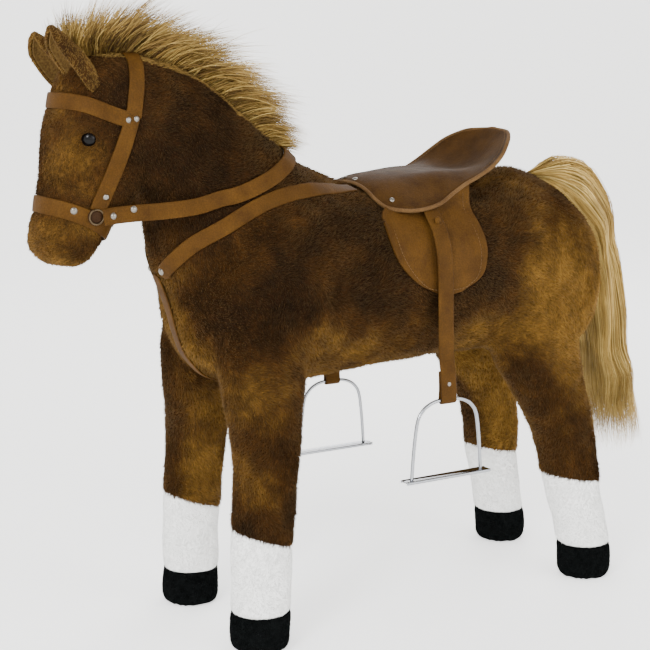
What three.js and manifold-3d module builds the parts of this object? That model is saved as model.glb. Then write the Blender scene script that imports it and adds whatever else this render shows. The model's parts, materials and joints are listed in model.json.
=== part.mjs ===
// A standing plush riding pony: stuffed body on a steel tube frame, with bridle, saddle and stirrups.
// Millimetres. X runs across (the pony's left is +X), Y along (the head is towards -Y), Z up.
// The side profile is drawn with Y = 0 midway between the front and hind feet, and the whole pony
// is then moved along Y so that the origin lies under the middle of its box.

import * as THREE from 'three';
import { mergeVertices } from 'three/addons/utils/BufferGeometryUtils.js';
import Module from 'manifold-3d';

const wasm = await Module();
wasm.setup();

// Driving dimensions
const footSpan = 456; // front feet to hind feet
const footTrack = 169; // left feet to right feet
const legRadius = 33; // at the socks
const sockTop = 121;
const hoofTop = 35;
const soleThickness = 3;
const noseReach = 437; // from Y = 0 forward to the muzzle
const tailReach = 379; // from Y = 0 back to the tail
const tubeRadius = 6.35; // steel frame tube
const strapWidth = 17;
const strapThickness = 1.8;
const leatherWidth = 20; // stirrup leather
const leatherThickness = 2.2;
const leftLeatherEnd = 254; // height of the left stirrup's wire
const rightLeatherEnd = 231; // the right leather is set longer
const wireRadius = 2;
const treadLength = 114;
const treadWidth = 15;
const treadThickness = 2;
const stirrupHeight = 84; // wire top to tread
const stirrupHalfWidth = 47; // at the tread
const ringRadius = 7; // bit ring, to the middle of its wire
const ringWireRadius = 1.2;
const studRadius = 3.2;
const studHeight = 1.6;
const pinRadius = 2;
const gap = 0.3; // between pieces that touch
const coatGap = 0.4; // between the plush and a strap that lies on it
const flapThickness = 2.4;
const seatThickness = 4;

const toBoxCentre = (noseReach - tailReach) / 2;
const frontFoot = -footSpan / 2;
const hindFoot = footSpan / 2;
const legAcross = footTrack / 2;
const sides = { left: 1, right: -1 };

const colours = {
  plush: [0x6b4a22, 1.0, 0],
  hair: [0x96763a, 0.95, 0],
  sock: [0xe4e4df, 0.95, 0],
  hoof: [0x15161a, 0.95, 0],
  leather: [0x7d532c, 0.6, 0],
  pad: [0x2c2420, 0.9, 0],
  chrome: [0xc9ccd0, 0.2, 1],
  eye: [0x120d0b, 0.1, 0],
  tube: [0x44474b, 0.5, 1],
  board: [0xb58a55, 0.8, 0],
};
const materials = {};
for (const [name, [color, roughness, metalness]] of Object.entries(colours)) {
  materials[name] = new THREE.MeshStandardMaterial({ name, color, roughness, metalness });
}

const pony = new THREE.Group();
pony.position.y = toBoxCentre;

// ---------- geometry helpers ----------

function toSolid(geometry) {
  const bare = geometry.clone();
  bare.deleteAttribute('normal');
  bare.deleteAttribute('uv');
  const merged = mergeVertices(bare, 1e-4);
  return new wasm.Manifold(new wasm.Mesh({
    numProp: 3,
    vertProperties: new Float32Array(merged.attributes.position.array),
    triVerts: new Uint32Array(merged.index.array),
  }));
}

function toGeometry(solid) {
  const mesh = solid.getMesh();
  const geometry = new THREE.BufferGeometry();
  geometry.setAttribute('position', new THREE.BufferAttribute(new Float32Array(mesh.vertProperties), 3));
  geometry.setIndex(new THREE.BufferAttribute(new Uint32Array(mesh.triVerts), 1));
  return geometry;
}

function addPiece(name, material, shape) {
  const geometry = toGeometry(shape);
  geometry.computeVertexNormals();
  const mesh = new THREE.Mesh(geometry, materials[material]);
  mesh.name = name;
  pony.add(mesh);
}

const cut = (solid, ...tools) => tools.reduce((rest, tool) => rest.subtract(tool), solid);
const join = (...solids) => solids.reduce((whole, solid) => whole.add(solid));
const perSide = (make) => Object.entries(sides).forEach(([name, sign]) => make(name, sign));

// A closed skin over sections of the same even number of points. The end sections are closed with
// strips from their first half to their second, which suits round sections and curved bands alike.
function skin(sections) {
  const count = sections[0].length;
  const positions = sections.flat().flatMap((p) => [p.x, p.y, p.z]);
  const index = [];
  for (let s = 0; s + 1 < sections.length; s++) {
    for (let k = 0; k < count; k++) {
      const [a, b] = [s * count + k, s * count + (k + 1) % count];
      index.push(a, b, b + count, a, b + count, a + count);
    }
  }
  const last = (sections.length - 1) * count;
  for (let k = 0; k + 1 < count / 2; k++) {
    const [a, b, c, d] = [k, k + 1, count - 2 - k, count - 1 - k];
    index.push(a, c, b, a, d, c);
    index.push(last + a, last + b, last + c, last + a, last + c, last + d);
  }
  const geometry = new THREE.BufferGeometry();
  geometry.setAttribute('position', new THREE.Float32BufferAttribute(positions, 3));
  geometry.setIndex(signedVolume(positions, index) < 0 ? index.reverse() : index);
  return toSolid(geometry);
}

function signedVolume(positions, index) {
  const corner = (i) => new THREE.Vector3().fromArray(positions, 3 * i);
  let volume = 0;
  for (let t = 0; t < index.length; t += 3) {
    const [a, b, c] = [corner(index[t]), corner(index[t + 1]), corner(index[t + 2])];
    volume += a.dot(b.cross(c)) / 6;
  }
  return volume;
}

// A rounded body through rings. Each ring is drawn in the side view from one outline point to the
// opposite one, as [y1, z1, y2, z2, half width, x of its middle]; square > 2 fills out the corners.
function loft(rings, { grow = 0, points = 16, square = 2 } = {}) {
  const middles = rings.map(([y1, z1, y2, z2, , x = 0]) =>
    new THREE.Vector3(x, (y1 + y2) / 2, (z1 + z2) / 2));
  const last = rings.length - 1;
  const outward = (end, inner) => middles[end].clone().sub(middles[inner]).setLength(grow);
  const moved = new Map([[0, outward(0, 1)], [last, outward(last, last - 1)]]);
  const bulge = (v) => Math.sign(v) * Math.abs(v) ** (2 / square);
  const sections = rings.map(([y1, z1, y2, z2, halfWidth], i) => {
    const half = new THREE.Vector3(0, (y1 - y2) / 2, (z1 - z2) / 2);
    half.setLength(half.length() + grow);
    const middle = moved.has(i) ? middles[i].clone().add(moved.get(i)) : middles[i];
    return Array.from({ length: points }, (_, k) => {
      const angle = (2 * Math.PI * k) / points;
      const across = new THREE.Vector3((halfWidth + grow) * bulge(Math.sin(angle)), 0, 0);
      return middle.clone().addScaledVector(half, bulge(Math.cos(angle))).add(across);
    });
  });
  return skin(sections);
}

// A side-view outline of [y, z] points, extruded across the pony from one x to another.
function prism(outline, fromX = -200, toX = 200) {
  const shape = Array.isArray(outline)
    ? new THREE.Shape(outline.map(([y, z]) => new THREE.Vector2(y, z))) : outline;
  const geometry = new THREE.ExtrudeGeometry(shape, {
    depth: Math.abs(toX - fromX), bevelEnabled: false, curveSegments: 6,
  });
  const sideView = new THREE.Matrix4().makeBasis(
    new THREE.Vector3(0, 1, 0), new THREE.Vector3(0, 0, 1), new THREE.Vector3(1, 0, 0));
  geometry.applyMatrix4(sideView).translate(Math.min(fromX, toX), 0, 0);
  return toSolid(geometry);
}

const box = (x, y, z, width, length, height) =>
  toSolid(new THREE.BoxGeometry(width, length, height).translate(x, y, z));

// A round bar along a curve through the given points.
function bar(points, radius, { steps, facets }) {
  const curve = new THREE.CatmullRomCurve3(points.map((p) => new THREE.Vector3(...p)), false, 'centripetal');
  const section = new THREE.Shape(Array.from({ length: facets }, (_, k) => {
    const angle = (2 * Math.PI * k) / facets;
    return new THREE.Vector2(radius * Math.cos(angle), radius * Math.sin(angle));
  }));
  return toSolid(new THREE.ExtrudeGeometry(section, { steps, extrudePath: curve, bevelEnabled: false }));
}

function disc(x, y, fromZ, toZ, radius, facets = 16) {
  const cylinder = new THREE.CylinderGeometry(radius, radius, toZ - fromZ, facets);
  return toSolid(cylinder.rotateX(Math.PI / 2).translate(x, y, (fromZ + toZ) / 2));
}

// Strip of the given width around a side-view centre line.
function strip(line, width = strapWidth) {
  const points = line.map(([y, z]) => new THREE.Vector2(y, z));
  const along = points.map((p, i) => {
    const before = points[Math.max(i - 1, 0)];
    const after = points[Math.min(i + 1, points.length - 1)];
    return after.clone().sub(before).normalize();
  });
  const edge = (sign) => points.map((p, i) => [
    p.x - (sign * along[i].y * width) / 2, p.y + (sign * along[i].x * width) / 2]);
  return [...edge(1), ...edge(-1).reverse()];
}

// ---------- stuffed body ----------

const torsoRings = [
  [-281, 398, -281, 350, 32],
  [-271, 432, -271, 312, 62],
  [-250, 462, -250, 288, 84],
  [-215, 480, -215, 274, 98],
  [-170, 487, -170, 272, 105],
  [-120, 485, -120, 276, 107],
  [-60, 479, -60, 282, 107],
  [0, 476, 0, 284, 107],
  [60, 479, 60, 286, 107],
  [110, 486, 110, 286, 107],
  [150, 488, 150, 278, 108],
  [190, 480, 190, 270, 106],
  [222, 458, 222, 274, 96],
  [244, 424, 244, 292, 76],
  [256, 385, 256, 320, 44],
];
const neckRings = [
  [-285, 368, -96, 486, 84],
  [-303, 405, -132, 508, 72],
  [-310, 435, -172, 540, 61],
  [-314, 458, -207, 568, 54],
  [-322, 482, -248, 600, 50],
  [-345, 505, -293, 620, 46],
  [-368, 535, -328, 630, 40],
];
const headRings = [
  [-392, 622, -345, 630, 18],
  [-403, 610, -322, 622, 35],
  [-411, 590, -311, 600, 43],
  [-419, 558, -310, 562, 47],
  [-424, 525, -316, 522, 46],
  [-428, 498, -330, 490, 42],
  [-431, 475, -347, 463, 37],
  [-436, 458, -364, 442, 33],
  [-437, 443, -375, 428, 31],
  [-432, 430, -383, 420, 26],
  [-419, 420, -394, 415, 14],
];

const torso = (grow = 0) => loft(torsoRings, { grow, square: 2.5 });
const neck = (grow = 0) => loft(neckRings, { grow, square: 2.2 });
const head = (grow = 0) => loft(headRings, { grow, square: 2.3 });
const bodies = new Map();
function body(grow) {
  if (!bodies.has(grow)) bodies.set(grow, join(torso(grow), neck(grow), head(grow)));
  return bodies.get(grow);
}

// What lies on the coat: the layer between two distances from it, inside a mask.
const onCoat = (mask, from = coatGap, to = coatGap + strapThickness) =>
  body(to).subtract(body(from)).intersect(mask);

// Leg rings run from the sock up into the torso: [z, y middle, half depth, x middle, half width].
const frontLegRings = [
  [sockTop + gap, -226, legRadius, legAcross, legRadius],
  [155, -222, legRadius, legAcross, legRadius],
  [195, -219, 34, 83, 34],
  [240, -217, 39, 79, 36],
  [285, -217, 46, 73, 38],
  [318, -215, 52, 66, 38],
  [352, -210, 54, 58, 32],
];
const leftHindRings = [
  [sockTop + gap, 203, 34, legAcross, 34],
  [155, 196, 35, legAcross, 34],
  [190, 187, 38, 83, 35],
  [233, 172, 46, 78, 38],
  [270, 158, 54, 71, 40],
  [305, 152, 62, 62, 40],
  [345, 150, 66, 52, 34],
];
// The right hind leg stands a little straighter than the left one.
const rightHindRings = leftHindRings.map(([z, y, depth, x, width]) =>
  [z, y + 18 * Math.sin(Math.PI * Math.min(1, (z - 90) / 215)), depth, x, width]);

const legs = {
  front_left: { sign: 1, foot: frontFoot, rings: frontLegRings },
  front_right: { sign: -1, foot: frontFoot, rings: frontLegRings },
  hind_left: { sign: 1, foot: hindFoot, rings: leftHindRings },
  hind_right: { sign: -1, foot: hindFoot, rings: rightHindRings },
};

const upright = (rings, sign) => rings.map(([z, y, depth, x, width]) =>
  [y + depth, z, y - depth, z, width, sign * x]);

// ---------- steel frame inside the stuffing ----------

const boardThickness = 6;
const boardRadius = 25;
const boardTop = soleThickness + gap + boardThickness;
const frontCross = [-205, 372];
const hindCross = [168, 378];

function legFramePath([leftKnee, rightKnee], foot, [crossY, crossZ]) {
  const side = (knee, sign) => [
    [sign * legAcross, foot, boardTop + gap],
    [sign * legAcross, foot, 60],
    [sign * knee[0], knee[1], knee[2]],
    [sign * 68, crossY + Math.sign(foot) * 4, 310],
    [sign * 50, crossY, crossZ - 14],
  ];
  return [...side(leftKnee, 1), [0, crossY, crossZ], ...side(rightKnee, -1).reverse()];
}
const frontKnee = [82, -219, 190];
const frontFramePath = legFramePath([frontKnee, frontKnee], frontFoot, frontCross);
const hindFramePath = legFramePath([[82, 190, 185], [82, 204, 185]], hindFoot, hindCross);
const spinePath = [[0, frontCross[0], frontCross[1]], [0, 0, 372], [0, hindCross[0], hindCross[1]]];
const neckPath = [[0, frontCross[0], frontCross[1]], [0, -235, 430], [0, -300, 530], [0, -365, 575]];
const tubePaths = {
  front_leg_tube: [frontFramePath, 36],
  hind_leg_tube: [hindFramePath, 36],
  spine_tube: [spinePath, 6],
  neck_tube: [neckPath, 10],
};
const tubeBar = (name, grow) => {
  const [path, steps] = tubePaths[name];
  return bar(path, tubeRadius + grow, { steps, facets: 6 });
};
const channelGap = 0.6; // from a tube to the stuffing around it
const tubeSpace = join(...Object.keys(tubePaths).map((name) => tubeBar(name, channelGap)));

// The spine ends at the two leg arches, and the neck tube stands on the front one.
function addFrame() {
  const longest = (solid) => solid.decompose().sort((a, b) => b.volume() - a.volume())[0];
  const archSpaces = [tubeBar('front_leg_tube', gap), tubeBar('hind_leg_tube', gap)];
  addPiece('front_leg_tube', 'tube', tubeBar('front_leg_tube', 0));
  addPiece('hind_leg_tube', 'tube', tubeBar('hind_leg_tube', 0));
  addPiece('spine_tube', 'tube', longest(cut(tubeBar('spine_tube', 0), ...archSpaces)));
  const besideSpine = cut(tubeBar('neck_tube', 0), archSpaces[0], tubeBar('spine_tube', gap));
  addPiece('neck_tube', 'tube', longest(besideSpine));
}

// ---------- head, eyes and ears ----------

const eyeRadius = 10;
const eye = (sign, grow = 0) =>
  toSolid(new THREE.SphereGeometry(eyeRadius + grow, 12, 8).translate(sign * 36, -392, 544));

const earRings = [
  [-366, 606, -382, 590, 15, 27],
  [-379, 617, -393, 602, 18, 29],
  [-394, 630, -406, 616, 17, 31],
  [-407, 640, -415, 628, 12, 33],
  [-417, 646, -421, 641, 5, 34],
];
const ear = (sign, grow = 0) =>
  loft(earRings.map(([y1, z1, y2, z2, width, x]) => [y1, z1, y2, z2, width, sign * x]), { grow, points: 12 });

function addHead() {
  const pockets = Object.values(sides).map((sign) => eye(sign, gap));
  addPiece('head', 'plush', cut(head(), tubeSpace, ...pockets));
  addPiece('neck', 'plush', cut(neck(), head(gap), torso(gap), tubeSpace));
  perSide((side, sign) => {
    addPiece(`${side}_eye`, 'eye', eye(sign));
    addPiece(`${side}_ear`, 'plush', ear(sign).subtract(body(coatGap)));
  });
}

function addTorsoAndLegs() {
  addPiece('torso', 'plush', cut(torso(), tubeSpace));
  for (const [name, { sign, foot, rings }] of Object.entries(legs)) {
    const leg = loft(upright(rings, sign), { points: 14 });
    addPiece(`${name}_leg`, 'plush', cut(leg, torso(gap), tubeSpace));
    const sock = loft(upright([
      [hoofTop, foot * 0.996, legRadius, legAcross, legRadius],
      [80, (foot + rings[0][1]) / 2, legRadius - 0.5, legAcross, legRadius - 0.5],
      [sockTop, rings[0][1], rings[0][2], legAcross, rings[0][4]],
    ], sign), { points: 14 });
    addPiece(`${name}_sock`, 'sock', cut(sock, tubeSpace));
    const hoof = loft(upright([
      [soleThickness + gap, foot, legRadius, legAcross, legRadius],
      [20, foot, legRadius + 0.6, legAcross, legRadius + 0.6],
      [hoofTop - gap, foot * 0.996, legRadius, legAcross, legRadius],
    ], sign), { points: 14 });
    const pocket = disc(sign * legAcross, foot, 0, boardTop + gap, boardRadius + gap);
    addPiece(`${name}_hoof`, 'hoof', cut(hoof, pocket, tubeSpace));
    const across = sign * legAcross;
    const board = disc(across, foot, soleThickness + gap, boardTop, boardRadius);
    addPiece(`${name}_foot_board`, 'board', board);
    addPiece(`${name}_sole`, 'hoof', disc(across, foot, 0, soleThickness, legRadius - 1));
  }
}

// ---------- bridle ----------

const cheekLine = [[-383, 478], [-366, 514], [-346, 566]];
const headpieceLine = [[-345.5, 567.5], [-338, 596], [-333, 660]];
const browLine = [[-460, 584], [-396, 584], [-370, 577], [-356.5, 571]];
const noseLine = [[-460, 485], [-425, 479], [-388, 466], [-350, 446], [-320, 430]];
const ringCentre = [-385, 467];
const ringAcross = 41.7;

const headpieceMask = prism(strip(headpieceLine));
const headpieceSpace = body(coatGap + strapThickness + gap).subtract(body(0)).intersect(
  prism(strip(headpieceLine, strapWidth + 2)));

function bitRing(sign) {
  const ring = new THREE.TorusGeometry(ringRadius, ringWireRadius, 6, 16);
  return toSolid(ring.rotateY(Math.PI / 2).translate(sign * ringAcross, ...ringCentre));
}

function addBridle() {
  const cheek = prism(strip(cheekLine));
  const cheekSpace = prism(strip(cheekLine, strapWidth + 2 * gap));
  addPiece('headpiece', 'leather', onCoat(headpieceMask));
  addPiece('browband', 'leather', onCoat(prism(strip(browLine, 16))).subtract(cheekSpace));
  addPiece('noseband', 'leather', onCoat(prism(strip(noseLine))).subtract(cheekSpace));
  perSide((side, sign) => {
    const half = prism([[-460, 440], [-300, 440], [-300, 570], [-460, 570]], 0, sign * 200);
    addPiece(`${side}_cheek_strap`, 'leather', onCoat(cheek.intersect(half)));
    addPiece(`${side}_bit_ring`, 'chrome', bitRing(sign));
  });
}

// The reins run from ring to ring over the neck, clear of the coat.
const reinLine = [[-305, 473], [-281, 475], [-225, 490], [-183, 509], [-154, 528], [-130, 560]];
const reinLift = coatGap + strapThickness + 0.4; // they cross over the breastplate
const reinThickness = 1.8;

function freeRein(sign) {
  // From behind the ring to the neck, a flat strap hanging in the open.
  const line = [[-372, 468.5, 43.5], [-345, 470, 45], [-320, 471, 46], [-295, 473.5, 46], [-266, 478, 43]];
  const half = strapWidth / 2;
  const sections = line.map(([y, z, x]) => [
    new THREE.Vector3(sign * x, y, z - half),
    new THREE.Vector3(sign * (x + reinThickness), y, z - half),
    new THREE.Vector3(sign * (x + reinThickness), y, z + half),
    new THREE.Vector3(sign * x, y, z + half),
  ]);
  return skin(sections);
}

function addReins() {
  const onNeck = onCoat(prism(strip(reinLine)), reinLift, reinLift + reinThickness);
  const whole = join(onNeck, freeRein(1), freeRein(-1)).subtract(body(reinLift - 0.2));
  addPiece('reins', 'leather', whole);
}

// ---------- breastplate ----------

const breastLine = [
  [-66, 494], [-131, 493], [-173, 491], [-226, 477], [-268, 457], [-293, 434], [-306, 412], [-318, 396],
];
const breastStud = [14, -305.8, 404];

function addBreastplate() {
  perSide((side, sign) => {
    const mask = prism(strip(breastLine), sign * 9.5, sign * 200);
    const fullHeight = prism([[-330, 380], [-66, 380], [-66, 520], [-330, 520]], sign * 9.5, sign * 200);
    addPiece(`${side}_breast_strap`, 'leather', onCoat(mask.intersect(fullHeight)));
    const stud = new THREE.CylinderGeometry(studRadius, studRadius, studHeight, 12);
    const [x, y, z] = breastStud;
    addPiece(`${side}_breast_stud`, 'chrome', toSolid(stud.translate(sign * x, y, z)));
  });
  const chestMask = box(0, -225, 350, strapWidth, 190, 140);
  addPiece('chest_strap', 'leather', onCoat(chestMask));
}

// ---------- mane and tail ----------

const maneRings = [
  [-394, 650, -372, 618, 13],
  [-371, 667, -352, 616, 19],
  [-340, 678, -325, 612, 23],
  [-300, 671, -298, 600, 24],
  [-254, 663, -268, 584, 24],
  [-214, 639, -238, 564, 24],
  [-187, 603, -210, 544, 22],
  [-174, 586, -194, 536, 17],
  [-167, 570, -184, 530, 10],
];
const tailRings = [
  [188, 497, 200, 462, 14],
  [215, 506, 222, 450, 23],
  [250, 502, 243, 430, 30],
  [283, 486, 262, 410, 34],
  [308, 461, 274, 385, 36],
  [327, 420, 284, 360, 37],
  [340, 375, 288, 335, 37],
  [349, 325, 292, 300, 36],
  [359, 270, 298, 262, 34],
  [370, 220, 306, 215, 30],
  [378.5, 178, 318, 172, 22],
  [374, 160, 330, 155, 10],
];

function addHair() {
  const earSpace = Object.values(sides).map((sign) => ear(sign, gap));
  const mane = cut(loft(maneRings, { points: 14 }), body(coatGap), headpieceSpace, ...earSpace);
  addPiece('mane', 'hair', mane);
  addPiece('tail', 'hair', cut(loft(tailRings, { points: 14 }), torso(1)));
}

// ---------- saddle ----------

// Seat stations: [y, z at the middle, half width, z at the edge].
const seatStations = [
  [-65, 489, 58, 476],
  [-58, 494, 74, 467],
  [-40, 497, 87, 463],
  [-20, 499, 88, 464],
  [2, 501, 86, 469],
  [22, 502, 82, 479],
  [42, 502, 78, 489],
  [64, 503, 76, 499],
  [80, 506, 75, 506],
  [98, 513, 71, 519],
  [114, 523, 62, 529],
  [128, 534, 46, 539],
  [137, 542, 24, 543],
];
const seatColumns = 12;

const seatRow = (drop) => ([y, zMiddle, halfWidth, zEdge]) =>
  Array.from({ length: seatColumns + 1 }, (_, k) => {
    const across = (2 * k) / seatColumns - 1;
    const z = zMiddle + (zEdge - zMiddle) * Math.abs(across) ** 2.2 - drop;
    return new THREE.Vector3(across * halfWidth, y, z);
  });

// A curved slab from one distance under the seat's top surface to another.
const seatSlab = (fromDrop, toDrop) => skin(seatStations.map((station) =>
  [...seatRow(fromDrop)(station), ...seatRow(toDrop)(station).reverse()]));

// The seat's plan, drawn in by an inset, standing upright between two heights.
const seatPlan = (inset, fromZ, toZ) => skin(seatStations.map(([y, , halfWidth]) =>
  [[-1, fromZ], [1, fromZ], [1, toZ], [-1, toZ]].map(([sign, z]) =>
    new THREE.Vector3(sign * (halfWidth - inset), y, z))));

const [padFrom, padTo, padInset, padGap] = [-56, 104, 10, 1.5];
const flapTop = 459;
const flapOutline = new THREE.Shape();
flapOutline.moveTo(-78, flapTop);
flapOutline.quadraticCurveTo(-66, 408, -42, 388);
flapOutline.quadraticCurveTo(-22, 370, 4, 370);
flapOutline.quadraticCurveTo(36, 371, 47, 400);
flapOutline.quadraticCurveTo(52, 425, 44, flapTop);

const leatherY = -11;
const pivotZ = 450;
const pivotX = 94.4;
const alongX = (radius, fromX, toX, y, z, facets = 16) => toSolid(
  new THREE.CylinderGeometry(radius, radius, Math.abs(toX - fromX), facets)
    .rotateZ(Math.PI / 2).translate((fromX + toX) / 2, y, z));

// Strap path in the front view, from above the pivot down: [x, z] of its middle. It stands far
// enough off the flap to clear the swell of the body as it swings.
const hangAcross = 122;
const loopWall = 2.05;
const leatherPath = (end) => [
  [84.5, 461.5], [pivotX, pivotZ], [104, 438], [111.8, 418], [115.3, 396], [116.6, 372],
  [117.5, 340], [119.5, 300], [121.5, end + 18], [hangAcross, end + 3.2],
];

function leather(sign, end) {
  const path = leatherPath(end).map(([x, z]) => new THREE.Vector2(x, z));
  const sections = path.map((p, i) => {
    const along = path[Math.min(i + 1, path.length - 1)].clone().sub(path[Math.max(i - 1, 0)]).normalize();
    const out = new THREE.Vector2(-along.y, along.x).multiplyScalar(leatherThickness / 2);
    const half = leatherWidth / 2;
    const corner = (side, y) =>
      new THREE.Vector3(sign * (p.x + side * out.x), leatherY + y, p.y + side * out.y);
    return [corner(1, -half), corner(1, half), corner(-1, half), corner(-1, -half)];
  });
  const boreRadius = wireRadius + 0.35;
  const aroundWire = (radius, length) => toSolid(
    new THREE.CylinderGeometry(radius, radius, length, 16).translate(sign * hangAcross, leatherY, end));
  // The top is cut round about the pivot, so that it clears the seat as it swings.
  const roundTop = alongX(leatherWidth / 2, sign * 60, sign * 140, leatherY, pivotZ, 24);
  const below = box(sign * 100, leatherY, pivotZ - 150, 100, 2 * leatherWidth, 300);
  const strap = skin(sections).intersect(join(roundTop, below));
  const pinHole = alongX(pinRadius + 0.3, sign * 60, sign * 140, leatherY, pivotZ);
  const loop = aroundWire(boreRadius + loopWall, leatherWidth);
  return cut(join(strap, loop), aroundWire(boreRadius, leatherWidth + 4), pinHole);
}

// A pin through the flap and the leather's top, with a head on the outside.
const [pinInner, pinHead, pinOuter] = [85, 99.3, 100.7];
const leatherRivet = (sign) => join(
  alongX(pinRadius, sign * pinInner, sign * pinOuter, leatherY, pivotZ),
  alongX(2 * pinRadius, sign * pinHead, sign * pinOuter, leatherY, pivotZ));

// The wire is straight across the strap's loop, then bends down to both ends of the tread.
function stirrupArch(sign, top) {
  const foot = top - stirrupHeight;
  const half = [[10.5, top], [15, top], [21, foot + 83], [34, foot + 75.5], [40.5, foot + 62],
    [44.6, foot + 30], [stirrupHalfWidth, foot]];
  const mirrored = half.map(([y, z]) => [-y, z]).reverse();
  const points = [...mirrored, ...half].map(([y, z]) => [sign * hangAcross, leatherY + y, z]);
  return bar(points, wireRadius, { steps: 32, facets: 8 });
}

function addSaddle() {
  addPiece('saddle_seat', 'leather', seatSlab(0, seatThickness));
  const padLength = box(0, padFrom / 2 + padTo / 2, 500, 200, padTo - padFrom, 200);
  const pad = seatSlab(seatThickness + padGap, 60).intersect(padLength)
    .intersect(seatPlan(padInset, flapTop + gap, 600)).subtract(torso(coatGap));
  addPiece('saddle_pad', 'pad', pad);
  perSide((side, sign) => {
    const end = sign > 0 ? leftLeatherEnd : rightLeatherEnd;
    const flapMask = prism(flapOutline, sign * 50, sign * 200);
    const pinHole = alongX(pinRadius + gap, sign * 60, sign * 140, leatherY, pivotZ);
    const flap = onCoat(flapMask, coatGap, coatGap + flapThickness).subtract(pinHole);
    addPiece(`${side}_flap`, 'leather', flap);
    addPiece(`${side}_stirrup_leather`, 'leather', leather(sign, end));
    addPiece(`${side}_leather_rivet`, 'chrome', leatherRivet(sign));
    addPiece(`${side}_stirrup_arch`, 'chrome', stirrupArch(sign, end));
    const treadTop = end - stirrupHeight - gap;
    const treadMiddle = treadTop - treadThickness / 2;
    addPiece(`${side}_stirrup_tread`, 'chrome',
      box(sign * hangAcross, leatherY, treadMiddle, treadWidth, treadLength, treadThickness));
  });
}

addTorsoAndLegs();
addHead();
addFrame();
addBridle();
addReins();
addBreastplate();
addHair();
addSaddle();

export default pony;
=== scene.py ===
"""The looks of a standing plush riding pony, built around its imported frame.

Metres, +Z up, the head towards -Y and the pony's left towards +X. Side-view outlines are lists of
(y, z) in millimetres, with y = 0 midway between the front and hind feet, as the frame draws them.
"""
import json
import math

import bmesh
import bpy
import numpy as np
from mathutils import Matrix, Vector
from mathutils.bvhtree import BVHTree
from mathutils.kdtree import KDTree

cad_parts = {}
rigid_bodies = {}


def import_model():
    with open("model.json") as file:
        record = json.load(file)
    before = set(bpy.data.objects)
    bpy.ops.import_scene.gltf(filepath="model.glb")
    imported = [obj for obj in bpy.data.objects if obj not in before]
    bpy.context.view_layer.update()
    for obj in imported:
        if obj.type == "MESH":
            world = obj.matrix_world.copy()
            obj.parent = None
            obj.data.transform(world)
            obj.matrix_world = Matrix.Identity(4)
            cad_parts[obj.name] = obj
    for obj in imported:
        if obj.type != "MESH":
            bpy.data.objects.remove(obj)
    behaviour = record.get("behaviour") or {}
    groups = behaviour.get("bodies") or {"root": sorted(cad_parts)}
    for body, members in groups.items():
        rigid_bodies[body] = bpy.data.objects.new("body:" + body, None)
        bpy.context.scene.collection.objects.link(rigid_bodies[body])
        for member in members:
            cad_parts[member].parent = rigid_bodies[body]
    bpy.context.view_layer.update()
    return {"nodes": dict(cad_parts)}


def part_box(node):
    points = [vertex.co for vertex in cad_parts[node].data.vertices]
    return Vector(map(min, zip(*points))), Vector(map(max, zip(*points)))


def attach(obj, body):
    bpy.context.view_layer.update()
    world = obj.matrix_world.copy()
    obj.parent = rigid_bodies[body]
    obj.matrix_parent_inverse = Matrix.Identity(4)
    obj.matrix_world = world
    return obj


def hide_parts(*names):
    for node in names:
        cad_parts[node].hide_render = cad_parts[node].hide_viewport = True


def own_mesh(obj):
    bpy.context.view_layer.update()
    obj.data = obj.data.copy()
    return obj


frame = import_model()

MM = 0.001
SIDES = {"left": 1, "right": -1}
LEGS = ["front_left", "front_right", "hind_left", "hind_right"]
scene = bpy.context.scene


def cad_middle(node):
    low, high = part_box(node)
    return (np.array(low) + np.array(high)) / 2


FEET_MIDDLE = (cad_middle("front_left_sole")[1] + cad_middle("hind_left_sole")[1]) / 2
FOOT = {leg: cad_middle(leg + "_sole")[:2] for leg in LEGS}


def at(x, y, z):
    """A point given in the millimetres of the side view."""
    return np.array((x * MM, y * MM + FEET_MIDDLE, z * MM))


# ---------- camera, floor and light ----------

CAMERA_AT = np.array((1.380, FEET_MIDDLE - 0.932, 0.607))
CAMERA_TARGET = np.array((0.0, FEET_MIDDLE - 0.095, 0.327))


def add_camera():
    camera = bpy.data.objects.new("camera", bpy.data.cameras.new("camera"))
    camera.data.lens = 79.9
    camera.data.sensor_width = 36
    camera.location = CAMERA_AT
    aim = Vector(CAMERA_TARGET - CAMERA_AT)
    camera.rotation_euler = aim.to_track_quat("-Z", "Y").to_euler()
    scene.collection.objects.link(camera)
    scene.camera = camera


def add_area_light(name, place, size, power):
    light = bpy.data.lights.new(name, "AREA")
    light.size = size
    light.energy = power
    lamp = bpy.data.objects.new(name, light)
    lamp.location = place
    lamp.rotation_euler = (Vector(CAMERA_TARGET) - Vector(place)).to_track_quat("-Z", "Y").to_euler()
    scene.collection.objects.link(lamp)


def add_stage():
    world = bpy.data.worlds.new("studio")
    world.use_nodes = True
    background = world.node_tree.nodes["Background"].inputs
    background["Color"].default_value = (1.0, 0.99, 0.97, 1)
    background["Strength"].default_value = 1.2
    scene.world = world
    add_area_light("key_light", (1.6, -2.2, 2.4), 1.6, 62)
    add_area_light("glint_light", (1.5, -2.3, 1.9), 0.7, 42)
    add_area_light("side_light", (2.6, 1.2, 1.5), 1.8, 34)
    add_area_light("back_light", (-1.8, 1.8, 2.2), 1.6, 40)


FLOOR_SIDES = 72
FLOOR_RADIUS = 3.0
BACKDROP_HEIGHT = 3.0


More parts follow.
